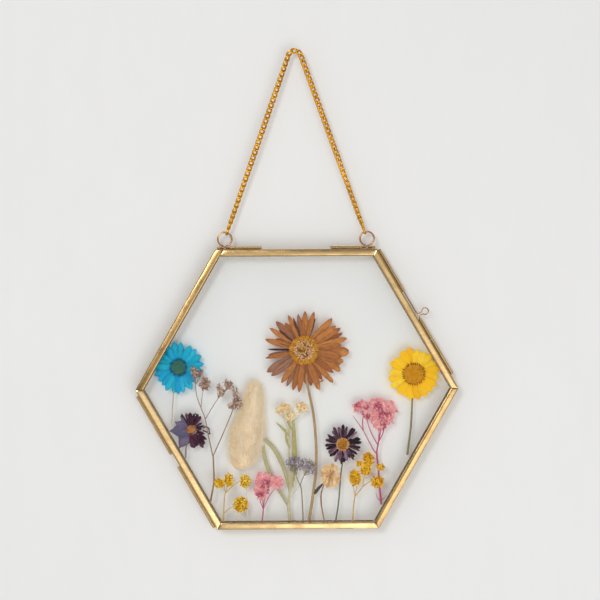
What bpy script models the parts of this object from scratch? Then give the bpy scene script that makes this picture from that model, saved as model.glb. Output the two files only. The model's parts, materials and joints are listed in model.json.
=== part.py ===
"""Pressed flower frame, hung by its chain.

Two hexagonal brass leaves, hinged along the lower left side and pinned along the upper right
side, each hold a pane. Fifteen dried specimens lie between the panes in two shallow layers.
Metres, +Z up. The front faces -Y and the seam between the leaves is the plane y = 0. The origin
is the point of the chain's arch that bears on whatever the frame hangs from.
"""

import math

import bmesh
import bpy
from mathutils import Matrix, Vector

MM = 0.001

# The hexagon and its bars
SIDE = 90 * MM  # outer side of the hexagon
DROP = 187.6 * MM  # from the origin down to the hexagon's centre
BAR_FACE = 3.9 * MM  # width of a bar seen from the front
LEAF_DEPTH = 3.9 * MM
SHEET = 0.5 * MM  # brass sheet that the bars are folded from
FOLD_RADIUS = 0.6 * MM  # outside of a bar's two folds
SEAM = 0.3 * MM  # between the two leaves
MITRE_GAP = 0.3 * MM
GLASS = 1.8 * MM
GLASS_TO_LIP = 0.3 * MM
GLASS_TO_WEB = 0.4 * MM
APOTHEM = SIDE * math.sqrt(3) / 2
LEAF_MIDDLE = (SEAM + LEAF_DEPTH) / 2  # the middle of a leaf's depth, from the seam

# Hinge and clasp, along the sides
BARREL_RADIUS = 0.9 * MM
BARREL_BORE = 0.42 * MM
PIN_RADIUS = 0.35 * MM
SOLDER_GAP = 0.12 * MM  # a tube's wall to the bar that carries it
AXIS_OUT = SOLDER_GAP + BARREL_RADIUS  # from a bar's outer face to a barrel's axis
TUBE_SIDES = 16
HINGE_BARRELS = ((3.5, 22.0), (22.4, 41.0), (49.0, 69.0), (69.4, 88.5))  # mm from the left corner
HINGE_PINS = ((4.0, 40.5), (49.5, 88.0))
CLASP_TUBES = {"clasp_guide": (1.0, 28.3), "clasp_keeper": (46.0, 58.9), "clasp_catch": (59.3, 81.7)}
LOOP_ALONG = 43.8 * MM  # the clasp pin's finger loop, from the upper right corner
LOOP_OUT = 4.7 * MM  # its centre, from the pin's axis
LOOP_RADIUS = 1.85 * MM
LOOP_OPENING = math.radians(27)  # half the angle that the loop leaves open towards the frame
PIN_TOP = 18.3 * MM  # the ends of the pin's two legs, from the upper right corner
PIN_TIP = 59.0 * MM
LOOP_SHOULDER = ((2.4, 0), (1.3, 0.25), (0.7, 1.1), (0.55, 2.1))  # leg to loop: along and out, mm

# Hanging eyes and their tubes
EYE_X = 39.7 * MM
EYE_WIRE = 0.5 * MM
EYE_RADIUS = 3.9 * MM
BEND = 0.55 * MM  # where the wire doubles back into the tube
BEND_X = 1.15 * MM
FOOT_OUT = 3.9 * MM
FOOT_IN = 8.0 * MM
HANGER_TUBE_RADIUS = 0.82 * MM
HANGER_TUBE_BORE = 0.56 * MM
HANGER_TUBE_OUT = 4.4 * MM  # from the eye's centre to the tube's outer end
HANGER_TUBE_IN = 20.5 * MM
WINDOW_HALF = 2.6 * MM  # the slot that lets the eye swing
WINDOW_FLOOR = -0.3 * MM
WINDOW_TOP = 2 * MM
SWING_Z = -DROP + APOTHEM + SOLDER_GAP + HANGER_TUBE_RADIUS
EYE_RISE = 2 * BEND + math.sqrt(EYE_RADIUS**2 - BEND_X**2)  # eye's centre above the tube's axis
EYE_Z = SWING_Z + EYE_RISE

# Chain, as the round envelope of its links
CHAIN_RADIUS = 1.35 * MM
ARCH_RADIUS = 3.75 * MM
CHAIN_GAP = 0.3 * MM
ARCH_Z = CHAIN_RADIUS - ARCH_RADIUS
ARCH_STEPS = 16

# Specimens: depth layers between the panes
SIGHT = APOTHEM - BAR_FACE - 0.3 * MM
BACK, FRONT = 0.8 * MM, -0.8 * MM
HEAD_THICKNESS = 1.0 * MM
BLADE_THICKNESS = 0.4 * MM
HEAD_SIDES = 20

SIDE_TURN = {  # each side's turn about Y from the bottom one, in degrees
    "bottom": 0,
    "lower_right": -60,
    "upper_right": -120,
    "top": 180,
    "upper_left": 120,
    "lower_left": 60,
}

FINISHES = {  # colour, roughness, metallic
    "brass": ((0.78, 0.58, 0.27), 0.3, 1.0),
    "gold_chain": ((0.85, 0.56, 0.12), 0.3, 1.0),
    "glass": ((0.9, 0.95, 0.94), 0.05, 0.0),
    "stem_tan": ((0.55, 0.45, 0.3), 0.8, 0.0),
    "stem_green": ((0.42, 0.4, 0.2), 0.8, 0.0),
    "petal_blue": ((0.0, 0.38, 0.62), 0.8, 0.0),
    "petal_dark": ((0.06, 0.02, 0.04), 0.8, 0.0),
    "petal_brown": ((0.42, 0.16, 0.06), 0.8, 0.0),
    "petal_yellow": ((0.9, 0.55, 0.01), 0.8, 0.0),
    "petal_pink": ((0.75, 0.25, 0.28), 0.8, 0.0),
    "petal_peach": ((0.8, 0.5, 0.25), 0.8, 0.0),
    "petal_lilac": ((0.35, 0.26, 0.5), 0.8, 0.0),
    "fluff_cream": ((0.85, 0.65, 0.4), 0.9, 0.0),
}

# Heads as they reach to their petals' tips: centre, half width and half height, from the
# hexagon's centre, in mm
HEADS = {
    "blue_daisy_head": ((-66.1, 12.3), (13.8, 13.8), BACK, "petal_blue"),
    "violet_flower_head": ((-59.7, -22.6), (9.9, 9.9), BACK, "petal_dark"),
    "pink_sprig_small_tuft": ((-20.0, -54.5), (3.4, 7.4), FRONT, "petal_pink"),
    "statice_cluster": ((2.0, -42.2), (8.4, 4.7), FRONT, "petal_lilac"),
    "brown_flower_head": ((4.1, 21.5), (22.4, 22.4), BACK, "petal_brown"),
    "peach_flower_head": ((18.3, -48.3), (5.7, 6.7), FRONT, "petal_peach"),
    "dark_daisy_head": ((25.3, -31.2), (10.6, 10.6), BACK, "petal_dark"),
    "pink_sprig_tuft": ((48.4, -14.1), (7.1, 8.9), BACK, "petal_pink"),
    "yellow_daisy_head": ((65.5, 7.8), (14.7, 14.7), BACK, "petal_yellow"),
}

# Stems and main branches: radius, layer, and the points of the run from top to bottom, in mm
STEMS = {
    "blue_daisy_stem": (0.45, BACK, "stem_tan", ((-69.0, -2.1), (-70.1, -19.7))),
    "violet_flower_stem": (0.5, BACK, "stem_tan", ((-62.2, -33.2), (-62.3, -37.8))),
    "brown_sprig_stem": (
        0.5, FRONT, "stem_tan", ((-47.0, -37.4), (-46.6, -49.6), (-47.3, -55.6), (-48.5, -62.3)),
    ),
    "brown_sprig_left": (
        0.4, FRONT, "stem_tan",
        (
            (-56.9, 7.6), (-56.0, -3.0), (-53.6, -10.2),
            (-51.3, -16.3), (-49.9, -24.1), (-47.4, -36.2),
        ),
    ),
    "brown_sprig_right": (
        0.4, FRONT, "stem_tan", ((-33.6, -5.6), (-36.8, -13.9), (-41.7, -25.4), (-46.2, -36.1)),
    ),
    "bunny_tail_stem": (0.35, BACK, "fluff_cream", ((-28.7, -46.3), (-28.3, -73.7))),
    "yellow_sprig_stem": (
        0.35, FRONT, "stem_green",
        ((-38.6, -52.5), (-40.1, -57.4), (-40.7, -59.7), (-41.3, -68.3), (-41.4, -73.7)),
    ),
    "pink_sprig_small_stem": (
        0.35, FRONT, "petal_pink", ((-19.5, -62.6), (-19.4, -68.0), (-19.9, -73.7)),
    ),
    "cream_sprig_stem": (
        0.45, BACK, "stem_green",
        (
            (-3.7, -14.0), (-4.0, -37.2), (-3.7, -51.5),
            (-4.3, -58.8), (-5.1, -65.5), (-4.5, -73.7),
        ),
    ),
    "cream_sprig_leaf": (
        0.6, BACK, "stem_green", ((-2.1, -15.5), (-1.8, -25.1), (-1.6, -37.2), (-2.1, -49.5)),
    ),
    "statice_stem": (
        0.4, FRONT, "stem_tan", ((0.7, -47.6), (1.3, -53.5), (2.4, -56.9), (3.0, -73.7)),
    ),
    "brown_flower_stem": (
        0.62, BACK, "stem_tan",
        ((6.5, -1.6), (9.1, -14.3), (10.5, -31.0), (10.3, -46.4), (8.9, -57.3), (6.4, -73.4)),
    ),
    "peach_flower_stem": (
        0.5, FRONT, "stem_tan", ((13.9, -55.6), (13.0, -59.9), (13.3, -65.6), (14.7, -73.5)),
    ),
    "dark_daisy_stem": (
        0.45, BACK, "stem_green", ((25.0, -42.4), (24.1, -48.8), (23.0, -62.5), (21.2, -73.7)),
    ),
    "orange_sprig_stem": (
        0.4, FRONT, "stem_green",
        ((32.6, -50.0), (33.0, -54.6), (32.0, -60.2), (31.3, -64.5), (30.6, -73.7)),
    ),
    "pink_sprig_stem": (
        0.45, BACK, "petal_pink",
        ((46.4, -24.6), (45.0, -32.0), (44.4, -36.6), (45.2, -45.6), (46.5, -65.0)),
    ),
    "yellow_daisy_stem": (
        0.55, BACK, "stem_green", ((64.3, -7.7), (63.5, -22.0), (61.4, -37.4)),
    ),
}

# Leaf blades: the greatest width, and the centre line from the base to the tip, in mm
BLADES = {
    "leaf_blade_upper": (
        2.4, ((-17.0, -28.8), (-12.6, -34.2), (-8.9, -41.5), (-6.9, -48.2), (-5.6, -55.5)),
    ),
    "leaf_blade_lower": (
        1.9, ((-18.4, -33.2), (-17.6, -40.8), (-14.9, -48.2), (-11.3, -55.0), (-6.4, -64.2)),
    ),
}
BLADE_START = 0.2  # where along a half sine wave the width starts, and how much of it a blade runs
BLADE_SPAN = 0.72

BUNNY_TAIL = (  # outline, clockwise from the tip, in mm
    (-23.6, 4.2), (-19.6, 0.8), (-19.0, -12.0), (-18.3, -23.7), (-20.1, -32.2), (-23.0, -40.8),
    (-27.6, -44.8), (-34.6, -45.4), (-37.0, -41.5), (-37.7, -32.2), (-36.9, -24.9), (-33.6, -17.6),
    (-30.0, -10.0), (-27.4, -0.6),
)


def clear_scene():
    """Remove whatever objects the file starts with."""
    for thing in list(bpy.data.objects):
        bpy.data.objects.remove(thing, do_unlink=True)


def new_collection(name):
    """A collection under the scene's own."""
    collection = bpy.data.collections.new(name)
    bpy.context.scene.collection.children.link(collection)
    return collection


def finish(thing, name):
    """Give an object the named finish, made on first use."""
    material = bpy.data.materials.get(name)
    if material is None:
        colour, roughness, metallic = FINISHES[name]
        material = bpy.data.materials.new(name)
        material.use_nodes = True
        shader = material.node_tree.nodes["Principled BSDF"]
        shader.inputs["Base Color"].default_value = (*colour, 1.0)
        shader.inputs["Roughness"].default_value = roughness
        shader.inputs["Metallic"].default_value = metallic
    if not thing.data.materials:
        thing.data.materials.append(material)


def place(name, data, matrix, look, parent=None):
    """Link a new object at a place in the world, under its joint's empty if it moves."""
    thing = bpy.data.objects.new(name, data)
    PARTS.objects.link(thing)
    thing.matrix_basis = matrix
    if parent is not None:
        thing.parent = parent
        thing.matrix_parent_inverse = parent.matrix_basis.inverted()
    finish(thing, look)
    return thing


def joint_empty(name, location):
    """The point that a moving group turns or slides about."""
    empty = bpy.data.objects.new(name, None)
    empty.empty_display_size = 5 * MM
    PARTS.objects.link(empty)
    empty.matrix_basis = Matrix.Translation(location)
    return empty


def side_place(side, along, outward, y=0.0):
    """Placement on a side: local X runs along it and local Z points to the hexagon's centre."""
    to_centre = Matrix.Translation((0, y, -DROP))
    turn = Matrix.Rotation(math.radians(SIDE_TURN[side]), 4, "Y")
    return to_centre @ turn @ Matrix.Translation((along, 0, -APOTHEM - outward))


def arc(centre, radius, start, end, steps):
    """Points along an arc in the plane, both ends included."""
    return [
        (
            centre[0] + radius * math.cos(start + (end - start) * i / steps),
            centre[1] + radius * math.sin(start + (end - start) * i / steps),
        )
        for i in range(steps + 1)
    ]


def outline_curve(name, points, half_thickness):
    """A flat closed outline, filled and thickened both ways."""
    curve = bpy.data.curves.new(name, "CURVE")
    curve.dimensions = "2D"
    curve.fill_mode = "BOTH"
    curve.extrude = half_thickness
    spline = curve.splines.new("POLY")
    spline.points.add(len(points) - 1)
    spline.use_cyclic_u = True
    for point, (x, y) in zip(spline.points, points):
        point.co = (x, y, 0, 1)
    return curve


def mesh_of(curve):
    """A welded mesh of a curve, which is then removed."""
    holder = bpy.data.objects.new("holder", curve)
    bpy.context.scene.collection.objects.link(holder)
    graph = bpy.context.evaluated_depsgraph_get()
    mesh = bpy.data.meshes.new_from_object(holder.evaluated_get(graph))
    bpy.data.objects.remove(holder)
    bpy.data.curves.remove(curve)
    shape = bmesh.new()
    shape.from_mesh(mesh)
    bmesh.ops.remove_doubles(shape, verts=shape.verts, dist=0.001 * MM)
    bmesh.ops.recalc_face_normals(shape, faces=shape.faces)
    shape.to_mesh(mesh)
    shape.free()
    return mesh


def wire_curve(name, points, radius, smooth=False):
    """A round wire through points, with filled ends."""
    curve = bpy.data.curves.new(name, "CURVE")
    curve.dimensions = "3D"
    curve.bevel_depth = radius
    curve.bevel_resolution = 1
    curve.use_fill_caps = True
    curve.twist_mode = "MINIMUM"
    if smooth:
        curve.resolution_u = 2
        spline = curve.splines.new("BEZIER")
        spline.bezier_points.add(len(points) - 1)
        for knot, point in zip(spline.bezier_points, points):
            knot.co = point
            knot.handle_left_type = "AUTO"
            knot.handle_right_type = "AUTO"
    else:
        spline = curve.splines.new("POLY")
        spline.points.add(len(points) - 1)
        for knot, point in zip(spline.points, points):
            knot.co = (*point, 1)
    return curve


def tube(name, length, outer, bore, matrix, parent, look="brass"):
    """A turned tube along local X of its placement."""
    half = length / 2
    profile = [(outer, 0, half), (outer, 0, -half), (bore, 0, -half), (bore, 0, half)]
    mesh = bpy.data.meshes.new(name)
    mesh.from_pydata(profile, [(0, 1), (1, 2), (2, 3), (3, 0)], [])
    thing = place(name, mesh, matrix @ Matrix.Rotation(math.pi / 2, 4, "Y"), look, parent)
    turn = thing.modifiers.new("turned", "SCREW")
    turn.axis = "Z"
    turn.angle = 2 * math.pi
    turn.steps = TUBE_SIDES
    turn.render_steps = TUBE_SIDES
    turn.use_smooth_shade = True
    return thing


def bar_mesh():
    """The bottom bar of a leaf: a folded U-section, open to the centre and mitred at both ends."""
    half_depth = LEAF_DEPTH / 2
    inner = half_depth - SHEET
    quarter = math.pi / 2
    section = [(BAR_FACE, -half_depth), (BAR_FACE, -inner), (SHEET, -inner)]
    section += [(SHEET, inner), (BAR_FACE, inner), (BAR_FACE, half_depth)]
    section += arc((FOLD_RADIUS, half_depth - FOLD_RADIUS), FOLD_RADIUS, quarter, 2 * quarter, 3)
    section += arc((FOLD_RADIUS, FOLD_RADIUS - half_depth), FOLD_RADIUS, 2 * quarter, 3 * quarter, 3)
    mesh = mesh_of(outline_curve("bar", section, SIDE / 2))
    # The section's X becomes the way inwards, its Y the depth, and its extrusion the length.
    mesh.transform(Matrix(((0, 0, 1, 0), (0, 1, 0, 0), (1, 0, 0, -APOTHEM), (0, 0, 0, 1))))
    shape = bmesh.new()
    shape.from_mesh(mesh)
    for end in (-1, 1):
        outwards = Vector((end * math.cos(math.pi / 6), 0, math.sin(math.pi / 6)))
        bmesh.ops.bisect_plane(
            shape,
            geom=shape.verts[:] + shape.edges[:] + shape.faces[:],
            plane_co=outwards * -MITRE_GAP / 2,
            plane_no=outwards,
            clear_outer=True,
        )
        rim = [edge for edge in shape.edges if edge.is_boundary]
        bmesh.ops.holes_fill(shape, edges=rim)
    bmesh.ops.recalc_face_normals(shape, faces=shape.faces)
    shape.to_mesh(mesh)
    shape.free()
    return mesh


def build_bars(parents):
    """Six bars for each leaf, all sharing one mesh."""
    mesh = bar_mesh()
    for leaf, y in (("front", -LEAF_MIDDLE), ("back", LEAF_MIDDLE)):
        for side, degrees in SIDE_TURN.items():
            turn = Matrix.Rotation(math.radians(degrees), 4, "Y")
            matrix = Matrix.Translation((0, y, -DROP)) @ turn
            place(f"{leaf}_bar_{side}", mesh, matrix, "brass", parents[leaf])


def build_panes(parents):
    """A hexagonal pane in each leaf, lying against the leaf's outer lip."""
    radius = (APOTHEM - SHEET - GLASS_TO_WEB) / math.cos(math.pi / 6)
    corners = arc((0, 0), radius, 0, math.radians(300), 5)
    lip = SEAM / 2 + LEAF_DEPTH - SHEET
    middle = lip - GLASS_TO_LIP - GLASS / 2
    stand = Matrix.Rotation(math.pi / 2, 4, "X")
    for leaf, y in (("front", -middle), ("back", middle)):
        mesh = mesh_of(outline_curve(f"{leaf}_pane", corners, GLASS / 2))
        place(f"{leaf}_pane", mesh, Matrix.Translation((0, y, -DROP)) @ stand, "glass", parents[leaf])


def build_hinge(parents):
    """Two pairs of barrels along the lower left side, with a pin through each pair."""
    for number, (start, end) in enumerate(HINGE_BARRELS):
        leaf = "front" if number % 2 else "back"
        matrix = side_place("lower_left", (start + end) / 2 * MM - SIDE / 2, AXIS_OUT)
        length = (end - start) * MM
        tube(f"hinge_barrel_{number + 1}", length, BARREL_RADIUS, BARREL_BORE, matrix, parents[leaf])
    for number, (start, end) in enumerate(HINGE_PINS):
        half = (end - start) / 2 * MM
        matrix = side_place("lower_left", (start + end) / 2 * MM - SIDE / 2, AXIS_OUT)
        curve = wire_curve(f"hinge_pin_{number + 1}", [(-half, 0, 0), (half, 0, 0)], PIN_RADIUS)
        curve.bevel_resolution = 2
        place(curve.name, curve, matrix, "brass", parents["back"])


def build_clasp(parents):
    """Guide, keeper and catch tubes along the upper right side, and the sliding wire pin."""
    for name, (start, end) in CLASP_TUBES.items():
        leaf = "front" if name == "clasp_catch" else "back"
        matrix = side_place("upper_right", SIDE / 2 - (start + end) / 2 * MM, AXIS_OUT)
        tube(name, (end - start) * MM, BARREL_RADIUS, BARREL_BORE, matrix, parents[leaf])
    quarter = math.pi / 2
    shoulder = [(along * MM, out * MM) for along, out in LOOP_SHOULDER]
    loop = arc((0, LOOP_OUT), LOOP_RADIUS, LOOP_OPENING - quarter, 3 * quarter - LOOP_OPENING, 16)
    route = [(PIN_TIP - LOOP_ALONG, 0)] + shoulder + loop
    route += [(-x, out) for x, out in reversed(shoulder)]
    route.append((PIN_TOP - LOOP_ALONG, 0))
    # Local X runs from the right corner up to the top one, so distances from the top one turn round.
    points = [(-along, 0, -out) for along, out in route]
    matrix = side_place("upper_right", SIDE / 2 - LOOP_ALONG, AXIS_OUT)
    curve = wire_curve("clasp_pin", points, PIN_RADIUS)
    place("clasp_pin", curve, matrix, "brass", parents["pin"])


def eye_route():
    """One hanging eye from its outer foot, round the ring, to its inner foot, in its own plane."""
    side_angle = math.asin(BEND_X / EYE_RADIUS)
    quarter = math.pi / 2
    left_bend = arc((-BEND_X, BEND), BEND, -quarter, quarter - side_angle, 6)
    ring = arc((0, EYE_RISE), EYE_RADIUS, -quarter - side_angle, side_angle - 5 * quarter, 22)
    right_bend = [(-x, z) for x, z in reversed(left_bend)]
    return [(-FOOT_OUT, 0)] + left_bend + ring + right_bend + [(FOOT_IN, 0)]


def build_hangers(parents):
    """A wire eye on each shoulder, its feet turning in a tube with a slot for the swing."""
    for side, sign in (("left", 1), ("right", -1)):
        points = [(sign * x, 0, z) for x, z in eye_route()]
        matrix = Matrix.Translation((-sign * EYE_X, 0, SWING_Z))
        curve = wire_curve(f"hanging_eye_{side}", points, EYE_WIRE)
        place(curve.name, curve, matrix, "brass")
        middle = sign * (HANGER_TUBE_IN - HANGER_TUBE_OUT) / 2
        matrix_tube = matrix @ Matrix.Translation((middle, 0, 0))
        name = f"hanger_tube_{side}"
        length = HANGER_TUBE_IN + HANGER_TUBE_OUT
        body = tube(name, length, HANGER_TUBE_RADIUS, HANGER_TUBE_BORE, matrix_tube, parents["back"])
        cut = body.modifiers.new("slot", "BOOLEAN")
        cut.operation = "DIFFERENCE"
        cut.solver = "EXACT"
        cut.object = slot_cutter(f"slot_{side}", matrix)


def slot_cutter(name, matrix):
    """The box that opens a hanger tube round its eye."""
    shape = bmesh.new()
    bmesh.ops.create_cube(shape, size=1)
    size = Vector((2 * WINDOW_HALF, 2 * WINDOW_TOP, WINDOW_TOP - WINDOW_FLOOR))
    bmesh.ops.scale(shape, vec=size, verts=shape.verts)
    bmesh.ops.translate(shape, vec=(0, 0, (WINDOW_TOP + WINDOW_FLOOR) / 2), verts=shape.verts)
    mesh = bpy.data.meshes.new(name)
    shape.to_mesh(mesh)
    shape.free()
    cutter = bpy.data.objects.new(name, mesh)
    CUTTERS.objects.link(cutter)
    cutter.matrix_basis = matrix
    cutter.hide_render = True
    cutter.display_type = "WIRE"
    return cutter


def build_chain():
    """The chain's envelope: a straight strand on each side and the arch that bears on the support."""
    eye = Vector((EYE_X, 0, EYE_Z))
    centre = Vector((0, 0, ARCH_Z))
    reach = (eye - centre).length
    # The strand's line passes through the eye's centre and touches the arch.
    lean = math.atan2(eye.z - centre.z, eye.x) + math.acos(ARCH_RADIUS / reach)
    touch = centre + ARCH_RADIUS * Vector((math.cos(lean), 0, math.sin(lean)))
    run = (touch - eye).normalized()
    low = eye + run * (EYE_RADIUS + EYE_WIRE + CHAIN_GAP)
    high = touch - run * CHAIN_GAP
    for side, sign in (("left", -1), ("right", 1)):
        points = [(sign * p.x, 0, p.z) for p in (low, high)]
        curve = wire_curve(f"chain_{side}", points, CHAIN_RADIUS)
        curve.bevel_resolution = 2
        place(curve.name, curve, Matrix.Identity(4), "gold_chain")
    points = [(x, 0, z) for x, z in arc((0, ARCH_Z), ARCH_RADIUS, lean, math.pi - lean, ARCH_STEPS)]
    curve = wire_curve("chain_top", points, CHAIN_RADIUS)
    curve.bevel_resolution = 2
    place("chain_top", curve, Matrix.Identity(4), "gold_chain")


def inside_sight(point):
    """Move a point in the plane back inside the opening between the bars."""
    spot = Vector(point)
    for degrees in SIDE_TURN.values():
        outwards = Vector((-math.sin(math.radians(degrees)), -math.cos(math.radians(degrees))))
        beyond = spot.dot(outwards) - SIGHT
        if beyond > 0:
            spot -= outwards * beyond
    return tuple(spot)


def build_specimens(parent):
    """Heads, stems and blades, lying flat in their layers."""
    stand = Matrix.Rotation(math.pi / 2, 4, "X")
    for name, (middle, reach, layer, look) in HEADS.items():
        ring = arc((0, 0), 1, 0, 2 * math.pi * (1 - 1 / HEAD_SIDES), HEAD_SIDES - 1)
        outline = [((middle[0] + reach[0] * x) * MM, (middle[1] + reach[1] * y) * MM) for x, y in ring]
        curve = outline_curve(name, [inside_sight(point) for point in outline], HEAD_THICKNESS / 2)
        place(name, curve, Matrix.Translation((0, layer, -DROP)) @ stand, look, parent)
    outline = [(x * MM, z * MM) for x, z in BUNNY_TAIL]
    curve = outline_curve("bunny_tail_head", outline, HEAD_THICKNESS / 2)
    place("bunny_tail_head", curve, Matrix.Translation((0, BACK, -DROP)) @ stand, "fluff_cream", parent)
    for name, (width, points) in BLADES.items():
        outline = blade_outline([Vector(point) * MM for point in points], width * MM)
        curve = outline_curve(name, outline, BLADE_THICKNESS / 2)
        place(name, curve, Matrix.Translation((0, BACK, -DROP)) @ stand, "stem_green", parent)
    for name, (radius, layer, look, points) in STEMS.items():
        run = [(x * MM, 0, z * MM) for x, z in points]
        curve = wire_curve(name, run, radius * MM, smooth=True)
        place(name, curve, Matrix.Translation((0, layer, -DROP)), look, parent)


def blade_outline(points, width):
    """A blade round its centre line, widest before its middle and narrow at both ends."""
    left, right = [], []
    for i, point in enumerate(points):
        ahead = points[min(i + 1, len(points) - 1)] - points[max(i - 1, 0)]
        across = Vector((-ahead.y, ahead.x)).normalized()
        taper = math.sin(math.pi * (BLADE_START + BLADE_SPAN * i / (len(points) - 1)))
        left.append(tuple(point + across * width / 2 * taper))
        right.append(tuple(point - across * width / 2 * taper))
    return left + right[::-1]


def main():
    """Build the whole frame."""
    leaf_axis = side_place("lower_left", 0, AXIS_OUT).to_translation()
    pin_axis = side_place("upper_right", SIDE / 2 - LOOP_ALONG, AXIS_OUT).to_translation()
    parents = {
        "back": joint_empty("frame_swing_axis", Vector((0, 0, SWING_Z))),
        "front": joint_empty("leaf_open_axis", leaf_axis),
        "pin": joint_empty("clasp_pull_axis", pin_axis),
    }
    build_bars(parents)
    build_panes(parents)
    build_hinge(parents)
    build_clasp(parents)
    build_hangers(parents)
    build_chain()
    build_specimens(parents["back"])


clear_scene()
PARTS = new_collection("pressed_flower_frame")
CUTTERS = new_collection("cutters")
main()
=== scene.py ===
import json
import math
import random
from math import cos, pi, radians, sin, sqrt

import bmesh
import bpy
from bpy.props import FloatProperty, FloatVectorProperty, IntProperty, PointerProperty
from mathutils import Matrix, Vector, noise


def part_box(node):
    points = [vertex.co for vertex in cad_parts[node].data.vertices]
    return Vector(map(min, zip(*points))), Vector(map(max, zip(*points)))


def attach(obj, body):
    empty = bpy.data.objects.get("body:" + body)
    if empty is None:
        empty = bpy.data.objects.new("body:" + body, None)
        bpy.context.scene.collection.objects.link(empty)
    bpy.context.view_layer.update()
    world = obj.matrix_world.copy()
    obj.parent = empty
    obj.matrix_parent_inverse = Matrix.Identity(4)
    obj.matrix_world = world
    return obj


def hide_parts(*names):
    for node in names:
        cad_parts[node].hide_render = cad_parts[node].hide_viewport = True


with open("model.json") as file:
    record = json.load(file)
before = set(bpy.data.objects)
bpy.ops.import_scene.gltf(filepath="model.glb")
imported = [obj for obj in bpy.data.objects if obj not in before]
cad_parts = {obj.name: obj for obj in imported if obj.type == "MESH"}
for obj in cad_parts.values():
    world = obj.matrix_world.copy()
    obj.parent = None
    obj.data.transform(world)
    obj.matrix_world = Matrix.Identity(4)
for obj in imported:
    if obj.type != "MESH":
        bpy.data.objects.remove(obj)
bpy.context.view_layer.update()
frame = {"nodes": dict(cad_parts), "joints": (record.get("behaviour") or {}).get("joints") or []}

# Pressed flower frame. Two hinged hexagonal brass leaves hold a pane each, with dried specimens
# between them, and the whole hangs from a curb chain. +Z is up and the front faces -Y.

bl_info = {
    "name": "Pressed Flower Frame",
    "version": (1, 0, 0),
    "blender": (4, 5, 0),
    "location": "View3D > Sidebar > Flower Frame",
    "description": "Makes the brasswork, chain, panes and pressed specimens of a hanging flower frame",
    "category": "Add Mesh",
}

MM = 0.001
TOP_BAR, BOTTOM_BAR = (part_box(f"front_bar_{side}") for side in ("top", "bottom"))
APOTHEM = (TOP_BAR[1].z - BOTTOM_BAR[0].z) / 2
CENTRE_Z = (TOP_BAR[1].z + BOTTOM_BAR[0].z) / 2
SIDE = 2 * APOTHEM / sqrt(3)
BAR_FACE = TOP_BAR[1].z - TOP_BAR[0].z
LEAF_DEPTH = TOP_BAR[1].y - TOP_BAR[0].y
FACE_Y = TOP_BAR[0].y
SWING_Z = next(j["pos_m"][2] for j in frame["joints"] if j["name"] == "frame_swing")
BACK, FRONT = 0.8 * MM, -0.8 * MM  # the two layers that the specimens lie in
GOLDEN_ANGLE = pi * (3 - sqrt(5))
SIDE_TURN = {  # each side's turn about Y from the bottom one, in degrees
    "bottom": 0,
    "lower_right": -60,
    "upper_right": -120,
    "top": 180,
    "upper_left": 120,
    "lower_left": 60,
}


def linear(code):
    """A linear colour from a hex code."""
    parts = [int(code[i : i + 2], 16) / 255 for i in (1, 3, 5)]
    return tuple(p / 12.92 if p <= 0.04045 else ((p + 0.055) / 1.055) ** 2.4 for p in parts)


def colour_property(name, description, colour):
    """A colour setting with its default as a hex code or as linear parts."""
    default = linear(colour) if isinstance(colour, str) else colour
    return FloatVectorProperty(
        name=name, description=description, subtype="COLOR", size=3, min=0, max=1, default=default
    )


def length_property(name, description, default):
    """A length setting in metres."""
    return FloatProperty(name=name, description=description, unit="LENGTH", min=0, default=default)


class FRAME_PG_brasswork(bpy.types.PropertyGroup):
    """Sizes and colours of the brass, the chain and the panes."""

    brass: colour_property("Brass", "Colour of the bars, tubes and wire", "#DFBF8A")
    # This colours the dulled patches, and is also the painted shade that whole bars are darkened towards.
    tarnish_and_shade: colour_property("Tarnish", "Colour of the brass where it has dulled", "#AC8A56")
    chain: colour_property("Chain", "Colour of the gilt chain", "#F4B428")
    glass_tint: colour_property("Glass tint", "What a pane's face lets through", (0.9945, 0.9965, 0.9955))
    waviness: length_property("Waviness", "How far a bar's face wanders from flat", 0.06 * MM)
    link_pitch: length_property("Link pitch", "From one link's centre to the next", 3.1 * MM)
    link_wire: length_property("Link wire", "Thickness of the chain's wire", 1.05 * MM)
    link_width: length_property("Link width", "Outer width of a link", 3.25 * MM)


class FRAME_PG_specimens(bpy.types.PropertyGroup):
    """Colours and amounts of the pressed specimens."""

    blue: colour_property("Blue daisy", "Petals of the blue daisy", "#14AED6")
    yellow: colour_property("Yellow daisy", "Petals of the yellow daisy", "#FFC61A")
    brown: colour_property("Brown flower", "Petals of the big brown flower", "#C27E44")
    dark: colour_property("Dark daisy", "Petals of the dark purple daisy", "#2C1420")
    pink: colour_property("Pink sprigs", "Florets of the two pink sprigs", "#EC9A9C")
    cream: colour_property("Bunny tail", "Hairs of the grass head", "#FCE6C0")
    button: colour_property("Buttons", "Heads of the yellow button sprigs", "#F4C616")
    crumple: length_property("Crumple", "How far pressing has pushed the petals about", 0.35 * MM)
    hairs: IntProperty(name="Hairs", description="Hairs on the bunny tail", min=0, default=6200)
    florets: FloatProperty(
        name="Floret density", description="How thickly the tufts are set", min=0.1, default=1.0
    )
    seed: IntProperty(name="Seed", description="Seed of every random draw", min=0, default=11)


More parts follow.
